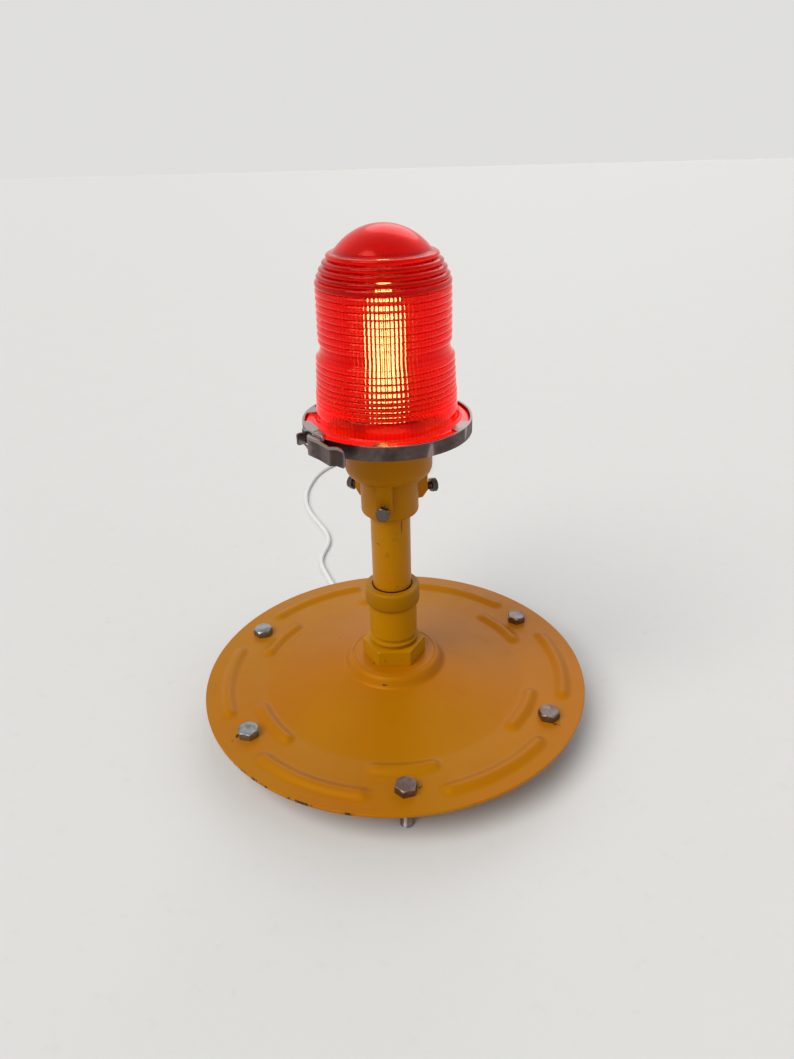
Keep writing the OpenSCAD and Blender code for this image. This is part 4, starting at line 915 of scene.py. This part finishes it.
class LAMP_OT_cord(bpy.types.Operator):
    """Lay the mains cord, coiled behind the lamp, with its strap and plug"""
    bl_idname = "lamp.cord"
    bl_label = "Cord"

    def execute(self, context):
        steps = 24
        coil = [coil_point(i / steps) for i in range(int(COIL_TURNS * steps) + 1)]
        route = RUN + coil + TAIL
        line = bpy.data.curves.new("mains_cord", "CURVE")
        line.dimensions = "3D"
        line.bevel_depth = CORD_D / 2 * MM
        line.bevel_resolution = 5
        line.resolution_u = 4
        line.use_fill_caps = True
        spline = line.splines.new("BEZIER")
        spline.bezier_points.add(len(route) - 1)
        for point, place in zip(spline.bezier_points, route):
            point.co = [v * MM for v in place]
            point.handle_left_type = point.handle_right_type = "AUTO"
        cord = object_of("mains_cord", line)
        line.materials.append(finish("white_cord"))
        stands_for(cord, "cord_run", "cord_coil", "cord_tail")

        dressed("plug_blades", "inner_cord", "strain_relief", "cord_gland", "gland_nut")
        strap = self.strap()
        plug = self.plug()
        return {"FINISHED"}

    def strap(self):
        """A soft strap round one side of the coil, inside the CAD strap's box."""
        half_width, bend_r, turn = 4.0, 1.6, -115
        hole_r = COIL_OUT - COIL_PITCH * LAYER_TURNS - CORD_D / 2
        inner = math.sqrt(hole_r ** 2 - half_width ** 2) - STRAP_GAP + bend_r
        outer = COIL_OUT + CORD_D / 2 + STRAP_GAP - bend_r
        low = bend_r + STRAP_T
        top = COIL_END_Z + CORD_D / 2 + STRAP_GAP - bend_r
        points, faces = [], []
        for cx, cz, start in ((inner, low, 180), (outer, low, 270), (outer, top, 0), (inner, top, 90)):
            for x, z in arc(cx, cz, 1, start, start + 90, 5):
                for reach in (bend_r, bend_r + STRAP_T):
                    for y in (-half_width, half_width):
                        points.append(((cx + (x - cx) * reach) * MM, y * MM, (cz + (z - cz) * reach) * MM))
        for a in range(0, len(points), 4):
            b = (a + 4) % len(points)
            faces += [(a, a + 1, b + 1, b), (a + 2, b + 2, b + 3, a + 3), (a, b, b + 2, a + 2),
                      (a + 1, a + 3, b + 3, b + 1)]
        mesh = mesh_of("coil_strap", points, faces)
        mesh.materials.append(finish("white_rubber"))
        face_out(mesh, 35)
        strap = object_of("coil_strap", mesh)
        soft = strap.modifiers.new("Soft edges", "BEVEL")
        soft.width, soft.segments = 0.15 * MM, 2
        settled(strap)
        middle = Matrix.Translation((COIL_X * MM, COIL_Y * MM, 0))
        moved(strap, middle @ Matrix.Rotation(math.radians(turn), 4, "Z"))
        return stands_for(strap, "coil_tie")

    def plug(self):
        """A moulded plug body with a waist, finger grips and a ribbed neck."""
        high, around, squareness = 13.0, 40, 0.6
        stations = smoothed([(0, 4.4, 4.6), (3, 4.6, 4.7), (7, 5.6, 5.2), (12, 8.6, 6.2), (17, 9.6, 6.2),
                             (22, 9.3, 6.0), (27, 10.6, 6.3), (31, 11.5, 6.5), (33.4, 11.5, 6.5),
                             (34.0, 11.0, 6.1)], 5)
        points = []
        for x, half_y, half_z in stations:
            ridge = 0.25 * math.cos(2 * math.pi * x / 2.2) if x < 8 else 0.0
            grip = 0.22 * math.cos(2 * math.pi * (x - 14) / 2.0) if 13 < x < 25 else 0.0
            for i in range(around):
                a = 2 * math.pi * i / around
                c, s = math.cos(a), math.sin(a)
                y = math.copysign(abs(c) ** squareness, c) * (half_y + ridge + grip * abs(c) ** 4 - 0.3)
                z = math.copysign(abs(s) ** squareness, s) * min(half_z + ridge, high / 2)
                points.append(((PLUG_X + x) * MM, (PLUG_Y + y) * MM, (high / 2 + z) * MM))
        last_row = (len(stations) - 1) * around
        ends = [tuple(range(around)), tuple(last_row + i for i in range(around))]
        mesh = mesh_of("plug_shell", points, ring_faces(len(stations), around) + ends)
        mesh.materials.append(finish("white_plastic"))
        with edited(mesh) as form:
            bmesh.ops.recalc_face_normals(form, faces=form.faces[:])
        face_out(mesh)
        return stands_for(object_of("plug_shell", mesh), "plug_body")


# Cover plate

DISH_R, DISH_RISE, DISH_CURVE = 104, 14, 1.15
HUB_R = 40
HUB_RADII = [0, 33, 34.4, 35.6, 36.6, 37.5, 38.4, 39.4, HUB_R]
HUB_RISES = [22, 22, 21.75, 21.1, 20.0, 18.5, 16.7, 14.9, 14.1]
CREASE_R, CREASE_DEPTH = 32.6, 0.35


def plate_height(radius):
    """Height of the plate's upper side over the rim, in millimetres."""
    if radius < HUB_R:
        return float(np.interp(radius, HUB_RADII, HUB_RISES))
    return DISH_RISE * max(0.0, (DISH_R - radius) / (DISH_R - HUB_R)) ** DISH_CURVE


def plate_profile():
    """The plate's section, with close points at the hub, the crease and the beads."""
    radii = [17.3, 24, 30, CREASE_R - 0.5, CREASE_R, CREASE_R + 0.5, 33.5, 34.2, 34.9, 35.6, 36.3, 37,
             37.7, 38.4, 39.1, 39.7, 40.3, 41, 42, 43.6, 46]
    radii += [50 + 4 * i for i in range(12)] + [97, 98.5, 100] + [101.3 + 1.15 * i for i in range(16)]
    radii += [120.5, 122.5, 124.5] + [126.2 + 1.15 * i for i in range(16)] + [145, 147.5, 150, 151.4]
    blur = [(0.0, 0.5), (-0.8, 0.25), (0.8, 0.25)]
    heights = [sum(share * plate_height(r + shift) for shift, share in blur) for r in radii]
    heights[radii.index(CREASE_R)] -= CREASE_DEPTH
    upper = [(r, PLATE_TOP + h) for r, h in zip(radii, heights)]
    lower = [(r, z - PLATE_T) for r, z in reversed(upper)]
    edge = PLATE_R - PLATE_EDGE_R
    rim = arc(edge, PLATE_TOP - PLATE_EDGE_R, PLATE_EDGE_R, 90, 0, 3)
    rim += arc(edge, PLATE_TOP - PLATE_T + PLATE_EDGE_R, PLATE_EDGE_R, 0, -90, 3)
    return upper + rim + lower + [upper[0]]


class LAMP_OT_cover_plate(bpy.types.Operator):
    """Press the round cover plate with its dish, hub and beads"""
    bl_idname = "lamp.cover_plate"
    bl_label = "Cover plate"

    def execute(self, context):
        sizes = context.scene.lamp_sizes
        paint = finish("plate_paint")
        plate = turned("cover_plate", plate_profile(), paint, segments=420, sharp=50)
        for turn, spread, ring_r in ((0.0, 21, 110.5), (math.pi / sizes.bolt_count, 34, 135)):
            worked(plate, pressed_beads(), Count=sizes.bolt_count, Turn=sizes.bolt_turn + turn,
                   Ring_Radius=ring_r * MM, Arc=math.radians(spread), Half_Width=sizes.bead_width / 2,
                   Height=sizes.bead_height, Material=paint)
        self.punch(plate, sizes)
        face_out(plate.data, 50)
        stands_for(plate, "base_plate")
        dressed("hub_cap")
        return {"FINISHED"}

    def punch(self, plate, sizes):
        """Cuts the bolt holes."""
        hole_r, ring_r = BOLT_HOLE_R * MM, BOLT_RING_R * MM
        depth, middle = 0.02, 0.031
        mesh = bpy.data.meshes.new("hole_cutters")
        with written(mesh) as cutters:
            for i in range(sizes.bolt_count):
                a = sizes.bolt_turn + i * 2 * math.pi / sizes.bolt_count
                place = Matrix.Translation((math.sin(a) * ring_r, -math.cos(a) * ring_r, middle))
                bmesh.ops.create_cone(cutters, cap_ends=True, segments=40, radius1=hole_r, radius2=hole_r,
                                      depth=depth, matrix=place)
        tool = object_of("hole_cutters", mesh)
        cut = plate.modifiers.new("Bolt holes", "BOOLEAN")
        cut.operation, cut.solver, cut.object = "DIFFERENCE", "MANIFOLD", tool
        settled(plate)
        bpy.data.objects.remove(tool)


class LAMP_OT_plate_bolts(bpy.types.Operator):
    """Set the plate's bolts and nuts round their circle"""
    bl_idname = "lamp.plate_bolts"
    bl_label = "Plate bolts"

    def execute(self, context):
        sizes = context.scene.lamp_sizes
        flats, head_height, thread_r, pitch = 14.29, 6.2, 4.71, 1.5875
        steel = finish("zinc_steel")
        head = hex_head("bolt_head", flats, head_height, steel)
        moved(head, Matrix.Translation((0, 0, PLATE_TOP * MM)))
        rod = threaded_rod("bolt_rod", thread_r, PLATE_TOP + 0.05, pitch, steel, 11.0)
        bolts = joined("plate_bolts", head, rod)
        worked(bolts, bolt_circle(), Count=sizes.bolt_count, Ring_Radius=BOLT_RING_R * MM,
               Turn=sizes.bolt_turn, Seed=sizes.bolt_seed, Material=steel)
        bolts.data.set_sharp_from_angle(angle=math.radians(32))
        stands_for(bolts, "base_bolts")
        softened("base_nuts", "plate_nuts", 0.4)
        return {"FINISHED"}


class LAMP_OT_coupling(bpy.types.Operator):
    """Make the breakable coupling, its nut and the column that stands in it"""
    bl_idname = "lamp.coupling"
    bl_label = "Coupling and column"

    def execute(self, context):
        softened("coupling_body", "coupling_casting", 0.5, 3)
        softened("coupling_nut", "coupling_collar", 0.35)
        softened("column", "column_tube", 0.3)
        dressed("coupling_ring")
        return {"FINISHED"}


class LAMP_OT_head(bpy.types.Operator):
    """Make the cast head, with its levelling screws and the lamp holder inside"""
    bl_idname = "lamp.head"
    bl_label = "Head"

    def execute(self, context):
        softened("head_casting", "head_shell", 0.55, 3)
        steel = finish("dark_steel")
        flats, head_height, thread_r, pitch = 9.53, 4.4, 6.35 / 2, 1.27
        on_rod = Matrix.Translation((0, 0, SCREW_LENGTH * MM)) @ Matrix.Rotation(math.radians(12), 4, "Z")
        outwards = Matrix.Translation((0, -(COLUMN_D / 2 + 0.5) * MM, 0))
        lying = Matrix.Rotation(math.radians(90), 4, "X")
        for where, turn in (("front", -8.5), ("right", 111.5), ("left", -128.5)):
            rod = threaded_rod("screw_rod", thread_r, SCREW_LENGTH + 0.05, pitch, steel, 0.6, 0.8)
            head = moved(hex_head("screw_head", flats, head_height, steel, 0.3), on_rod)
            screw = joined("screw_" + where, rod, head)
            screw.data.set_sharp_from_angle(angle=math.radians(32))
            seat = Matrix.Translation((0, 0, SEAT_Z * MM)) @ Matrix.Rotation(math.radians(turn), 4, "Z")
            moved(screw, seat @ outwards @ lying)
            stands_for(screw, "levelling_screw_" + where)
        dressed("levelling_ring", "lamp_holder", "holder_shell", "holder_contact", "holder_screws",
                "live_lead", "neutral_lead", "earth_screw", "earth_lead", "globe_gasket")
        return {"FINISHED"}


class LAMP_OT_band(bpy.types.Operator):
    """Make the clamp band and its toggle latch"""
    bl_idname = "lamp.band"
    bl_label = "Clamp band and latch"

    def execute(self, context):
        for name, piece_name, width in (
                ("clamp_band", "band_strip", 0.3), ("latch_lever", "lever_plate", 0.25),
                ("latch_catch", "catch_lug", 0.3), ("latch_bracket", "bracket_plate", 0.2)):
            softened(name, piece_name, width)
        dressed("latch_rivets", "latch_pin", "latch_link")
        return {"FINISHED"}


# Globe

def globe_profile():
    """Radii and heights over the flange's underside, in millimetres, and the flutes' weights."""
    low_r, waist_r, top_r, depth, fillet = 96.9 / 2, 88.1 / 2, 89 / 2, 1.3, 4.02
    low = [16.2 + 3.28 * i for i in range(6)]
    mid = [low[-1] + 4.38 * i for i in range(1, 5)]
    waist = mid[-1]
    belt = waist + 7
    top = [belt + 4.58 * i for i in range(10)]
    end = top[-1]
    grooves = low + mid + top
    crest_z = [0, 24, 29, waist - 12, waist, waist + 3, belt - 1, belt + 4, end]
    crest_r = [low_r, low_r - 0.2, low_r - 0.9, low_r - 1.2, (low_r + 2 * waist_r) / 3 + 1, waist_r, waist_r,
               top_r + 0.3, top_r]

    outer = [(56.5, 0.3), (56.5, 2.4), (56.3, 3.0), (55.7, 3.35), (54.9, 3.4)]
    outer += arc(low_r + fillet, 3.4 + fillet, fillet, -90, -180, 7) + [(low_r + 0.05, 11), (low_r, 14.5)]
    for z0, z1 in zip(grooves, grooves[1:]):
        shallow = 0.4 if z1 - z0 > 6.9 else 0.0
        for u in (0, 0.07, 0.2, 0.4, 0.62, 0.82, 0.94):
            off = abs(2 * u - 1)
            z = z0 + u * (z1 - z0)
            crest = float(np.interp(z, crest_z, crest_r))
            outer.append((crest - shallow * (1 - off ** 6) - depth * off ** 3.2, z))
    outer.append((top_r - depth, end))

    step = 4.1
    for i in range(4):
        crest = top_r - 0.25 * (i + 1) * (i + 5)
        for back, up in ((1.4, 0.4), (0.35, 1.0), (0, 1.7), (0.15, 2.6), (0.8, 3.3), (2.2, 3.9)):
            outer.append((crest - back, end + step * i + up))

    foot, rise, wall = 64 / 2, 16.5, 5
    height = end + 4 * step + rise
    dome_r = (foot ** 2 + rise ** 2) / (2 * rise)
    start = math.degrees(math.asin((dome_r - rise) / dome_r))
    outer += [(foot + 1.7, height - 16.8), (foot + 0.7, height - 16.6)]
    outer += arc(0, height - dome_r, dome_r, start, 90, 16)
    inner = arc(0, height - dome_r, dome_r - wall, 90, start + 4, 10)
    inner += [(34.25, end + 4.1), (37.6, end - 0.5), (39.0, end - 4)]
    fluted = [0.0] * (len(outer) + len(inner))
    for r, z, weight in (
            (39.0, end - 6, 1), (39.0, end - 18, 1), (39.05, belt + 6, 1), (39.05, belt, 1),
            (39.05, waist, 1), (41.3, waist - 10, 1), (42.85, low[-1], 1), (43.2, 24, 1), (43.35, 17, 1),
            (43.4, 15, 0), (43.45, 7.4, 0), (43.45, 0.5, 0), (43.9, 0, 0), (56.2, 0, 0), (56.5, 0.3, 0)):
        inner.append((r, z))
        fluted.append(float(weight))
    return outer + inner, fluted


class LAMP_OT_globe(bpy.types.Operator):
    """Press the red globe, with prism rings outside and fine flutes inside"""
    bl_idname = "lamp.globe"
    bl_label = "Globe"

    def execute(self, context):
        sizes = context.scene.lamp_sizes
        profile, fluted = globe_profile()
        profile = [(r, z + FLANGE_Z) for r, z in profile]
        globe = turned("prism_globe", profile, finish("red_glass"), segments=sizes.flute_count * 5, sharp=60,
                       fluted=fluted, Flutes=sizes.flute_count, Flute_Depth=sizes.flute_depth)
        stands_for(globe, "globe")
        return {"FINISHED"}


class LAMP_OT_bulb(bpy.types.Operator):
    """Blow the tubular bulb round its glowing rods"""
    bl_idname = "lamp.bulb"
    bl_label = "Bulb"

    def execute(self, context):
        low, radius, wall = BULB_CAP_TOP, 15, 1
        middle = low + 79
        side = smoothed([(12.3, low - 3), (12.4, low + 0.5), (13.0, low + 4), (14.2, low + 9),
                         (14.9, low + 14), (radius, low + 20)], 5)
        side += [(radius, low + z) for z in (35, 50, 65)]
        outside = side + arc(0, middle, radius, 0, 90, 14)
        inside = [(r - wall, z) for r, z in side] + arc(0, middle, radius - wall, 0, 90, 14)
        profile = outside + inside[::-1] + [outside[0]]
        glass = turned("bulb_envelope", profile, finish("clear_glass"), sharp=60)
        stands_for(glass, "bulb_glass")
        dressed("bulb_cap", "bulb_insulator", "bulb_contact", "bulb_stem", "bulb_filaments")
        return {"FINISHED"}


# Stage

class LAMP_OT_stage(bpy.types.Operator):
    """Set the camera, the pale floor and soft studio light"""
    bl_idname = "lamp.stage"
    bl_label = "Stage"

    def execute(self, context):
        scene = context.scene
        look = scene.lamp_stage
        scene.view_settings.view_transform = "Standard"
        self.camera(scene)
        self.floor(look)
        self.world(scene, look)
        sun_angle = math.radians(42)
        for name, place, share, tint in (
                ("key_light", (-1.05, -0.9, 1.65), 1.0, (1.0, 0.985, 0.96)),
                ("fill_light", (1.5, -0.8, 1.0), 0.09, (0.97, 0.98, 1.0)),
                ("back_light", (0.3, 1.5, 1.2), 0.2, (1.0, 1.0, 1.0))):
            lamp = bpy.data.lights.new(name, "SUN")
            lamp.angle, lamp.energy, lamp.color = sun_angle, look.key_strength * share, tint
            light = object_of(name, lamp)
            light.rotation_euler = Vector(place).to_track_quat("Z", "Y").to_euler()
        return {"FINISHED"}

    def floor(self, look):
        mesh = mesh_of("floor", [(-6, -6, 0), (6, -6, 0), (6, 6, 0), (-6, 6, 0)], [(0, 1, 2, 3)])
        material, tree, shader = fresh("floor_card")
        mottled = placed_group(tree, paint_surface, Color=(*look.floor_colour, 1), Shade=0.02,
                               Roughness=0.55, Peel=0.0)
        fill(tree, shader, Base_Color=mottled["Color"], Roughness=mottled["Roughness"],
             Specular_IOR_Level=0.12)
        mesh.materials.append(material)
        object_of("floor", mesh)

    def camera(self, scene):
        """The photograph's camera, as a fit to the plate's rim, the bolts and the column found it."""
        tilt, roll, yaw = (math.radians(a) for a in (27.76, -1.48, 0.50))
        focal_pixels, high_pixels, sensor = 817.3, 1059, 36
        ahead = Vector((math.sin(yaw) * math.cos(tilt), math.cos(yaw) * math.cos(tilt), -math.sin(tilt)))
        level = Vector((math.cos(yaw), -math.sin(yaw), 0))
        above = level.cross(ahead)
        right = math.cos(roll) * level + math.sin(roll) * above
        up = -math.sin(roll) * level + math.cos(roll) * above
        lens = bpy.data.cameras.new("camera")
        lens.sensor_width = sensor
        lens.lens = focal_pixels / high_pixels * sensor
        lens.clip_start, lens.clip_end = 0.02, 50
        camera = object_of("camera", lens)
        turn = Matrix((right, up, -ahead)).transposed()
        camera.matrix_world = Matrix.Translation((0, -0.5392, 0.4474)) @ turn.to_4x4()
        scene.camera = camera

    def world(self, scene, look):
        """Even light from all round, with a pale backdrop to the eye, through glass and in reflections."""
        world = bpy.data.worlds.new("studio")
        scene.world = world
        world.use_nodes = True
        tree = world.node_tree
        tree.nodes.clear()
        even = first(tree, "ShaderNodeBackground", Color=(1, 1, 1, 1), Strength=look.ambient)
        pale = first(tree, "ShaderNodeBackground", Color=(*look.backdrop_colour, 1), Strength=1.0)
        path = node(tree, "ShaderNodeLightPath").outputs
        seen = maths(tree, "MAXIMUM", path["Is Camera Ray"], path["Is Transmission Ray"])
        seen = maths(tree, "MAXIMUM", seen, path["Is Glossy Ray"])
        mixed = tree.nodes.new("ShaderNodeMixShader")
        for socket, value in zip(mixed.inputs, (seen, even, pale)):
            put(tree, socket, value)
        node(tree, "ShaderNodeOutputWorld", Surface=mixed.outputs[0])


# Settings and panel

def colour(name, description, default):
    return FloatVectorProperty(name=name, description=description, default=default, subtype="COLOR",
                               size=3, min=0, max=1)


def length(name, description, default):
    return FloatProperty(name=name, description=description, default=default, unit="LENGTH",
                         subtype="DISTANCE", min=0, precision=5)


def strength(name, description, default):
    return FloatProperty(name=name, description=description, default=default, min=0)


class LampSizes(bpy.types.PropertyGroup):
    bolt_count: IntProperty(name="Bolts", description="Number of bolts round the plate", default=6,
                            min=3, max=12)
    bolt_turn: FloatProperty(name="Bolt turn", description="Turn of the bolt circle from the front",
                             default=math.radians(2.3), unit="ROTATION", subtype="ANGLE")
    bolt_seed: IntProperty(name="Bolt seed", description="Seed of the way each bolt head is turned",
                           default=4)
    bead_width: length("Bead width", "Width of a pressed bead at its foot", 0.0155)
    bead_height: length("Bead height", "Height of a pressed bead", 0.0029)
    flute_count: IntProperty(name="Flutes", description="Number of flutes inside the globe", default=96,
                             min=8)
    flute_depth: length("Flute depth", "Half the depth of a flute", 0.0003)


class LampFinishes(bpy.types.PropertyGroup):
    plate_colour: colour("Plate", "Colour of the plate's paint", (0.402, 0.129, 0.000))
    column_colour: colour("Column", "Colour of the column's paint", (0.44, 0.166, 0.000))
    head_colour: colour("Head", "Colour of the head's paint", (0.39, 0.142, 0.000))
    coupling_colour: colour("Coupling", "Colour of the coupling's paint", (0.45, 0.188, 0.000))
    glass_colour: colour("Glass", "Colour of the globe's glass", (0.54, 0.006, 0.003))
    # Colour and strength of the painted glow that stands in for the bulb's light scattered in the globe's
    # glass.
    painted_glow_colour: colour("Glow", "Colour of the light that the glass scatters", (1.0, 0.006, 0.001))
    painted_glow_strength: strength("Glow strength", "Strength of the light that the glass scatters", 0.19)
    filament_glow: strength("Filament glow", "Strength of the rods' glow where the globe is off them", 2.4)
    filament_spread: strength("Filament spread", "Strength of the rods' glow on the pieces round them", 25.0)


class LampStage(bpy.types.PropertyGroup):
    floor_colour: colour("Floor", "Colour of the floor", (0.72, 0.72, 0.71))
    backdrop_colour: colour("Backdrop", "Colour behind the floor", (0.74, 0.735, 0.725))
    ambient: strength("Ambient", "Strength of the light from all round", 0.37)
    key_strength: strength("Key light", "Strength of the main light", 2.25)


GROUPS = {"lamp_sizes": LampSizes, "lamp_finishes": LampFinishes, "lamp_stage": LampStage}
OPERATORS = (LAMP_OT_stage, LAMP_OT_cord, LAMP_OT_cover_plate, LAMP_OT_plate_bolts, LAMP_OT_coupling,
             LAMP_OT_head, LAMP_OT_band, LAMP_OT_globe, LAMP_OT_bulb)


class LAMP_PT_panel(bpy.types.Panel):
    """Lists the lamp's pieces, sizes and colours"""
    bl_label = "Runway Light"
    bl_idname = "LAMP_PT_panel"
    bl_space_type = "VIEW_3D"
    bl_region_type = "UI"
    bl_category = "Lamp"

    def draw(self, context):
        for operator in OPERATORS:
            self.layout.operator(operator.bl_idname)
        for key, group in GROUPS.items():
            box = self.layout.box()
            for name in group.__annotations__:
                box.prop(getattr(context.scene, key), name)


def register():
    for group in (*GROUPS.values(), *OPERATORS, LAMP_PT_panel):
        bpy.utils.register_class(group)
    for key, group in GROUPS.items():
        setattr(bpy.types.Scene, key, PointerProperty(type=group))


def unregister():
    for key in GROUPS:
        delattr(bpy.types.Scene, key)
    for group in reversed((*GROUPS.values(), *OPERATORS, LAMP_PT_panel)):
        bpy.utils.unregister_class(group)


def main():
    """Builds every piece in order."""
    register()
    for operator in OPERATORS:
        getattr(bpy.ops.lamp, operator.bl_idname.split(".")[1])()
    bpy.context.view_layer.update()


if __name__ == "__main__":
    main()
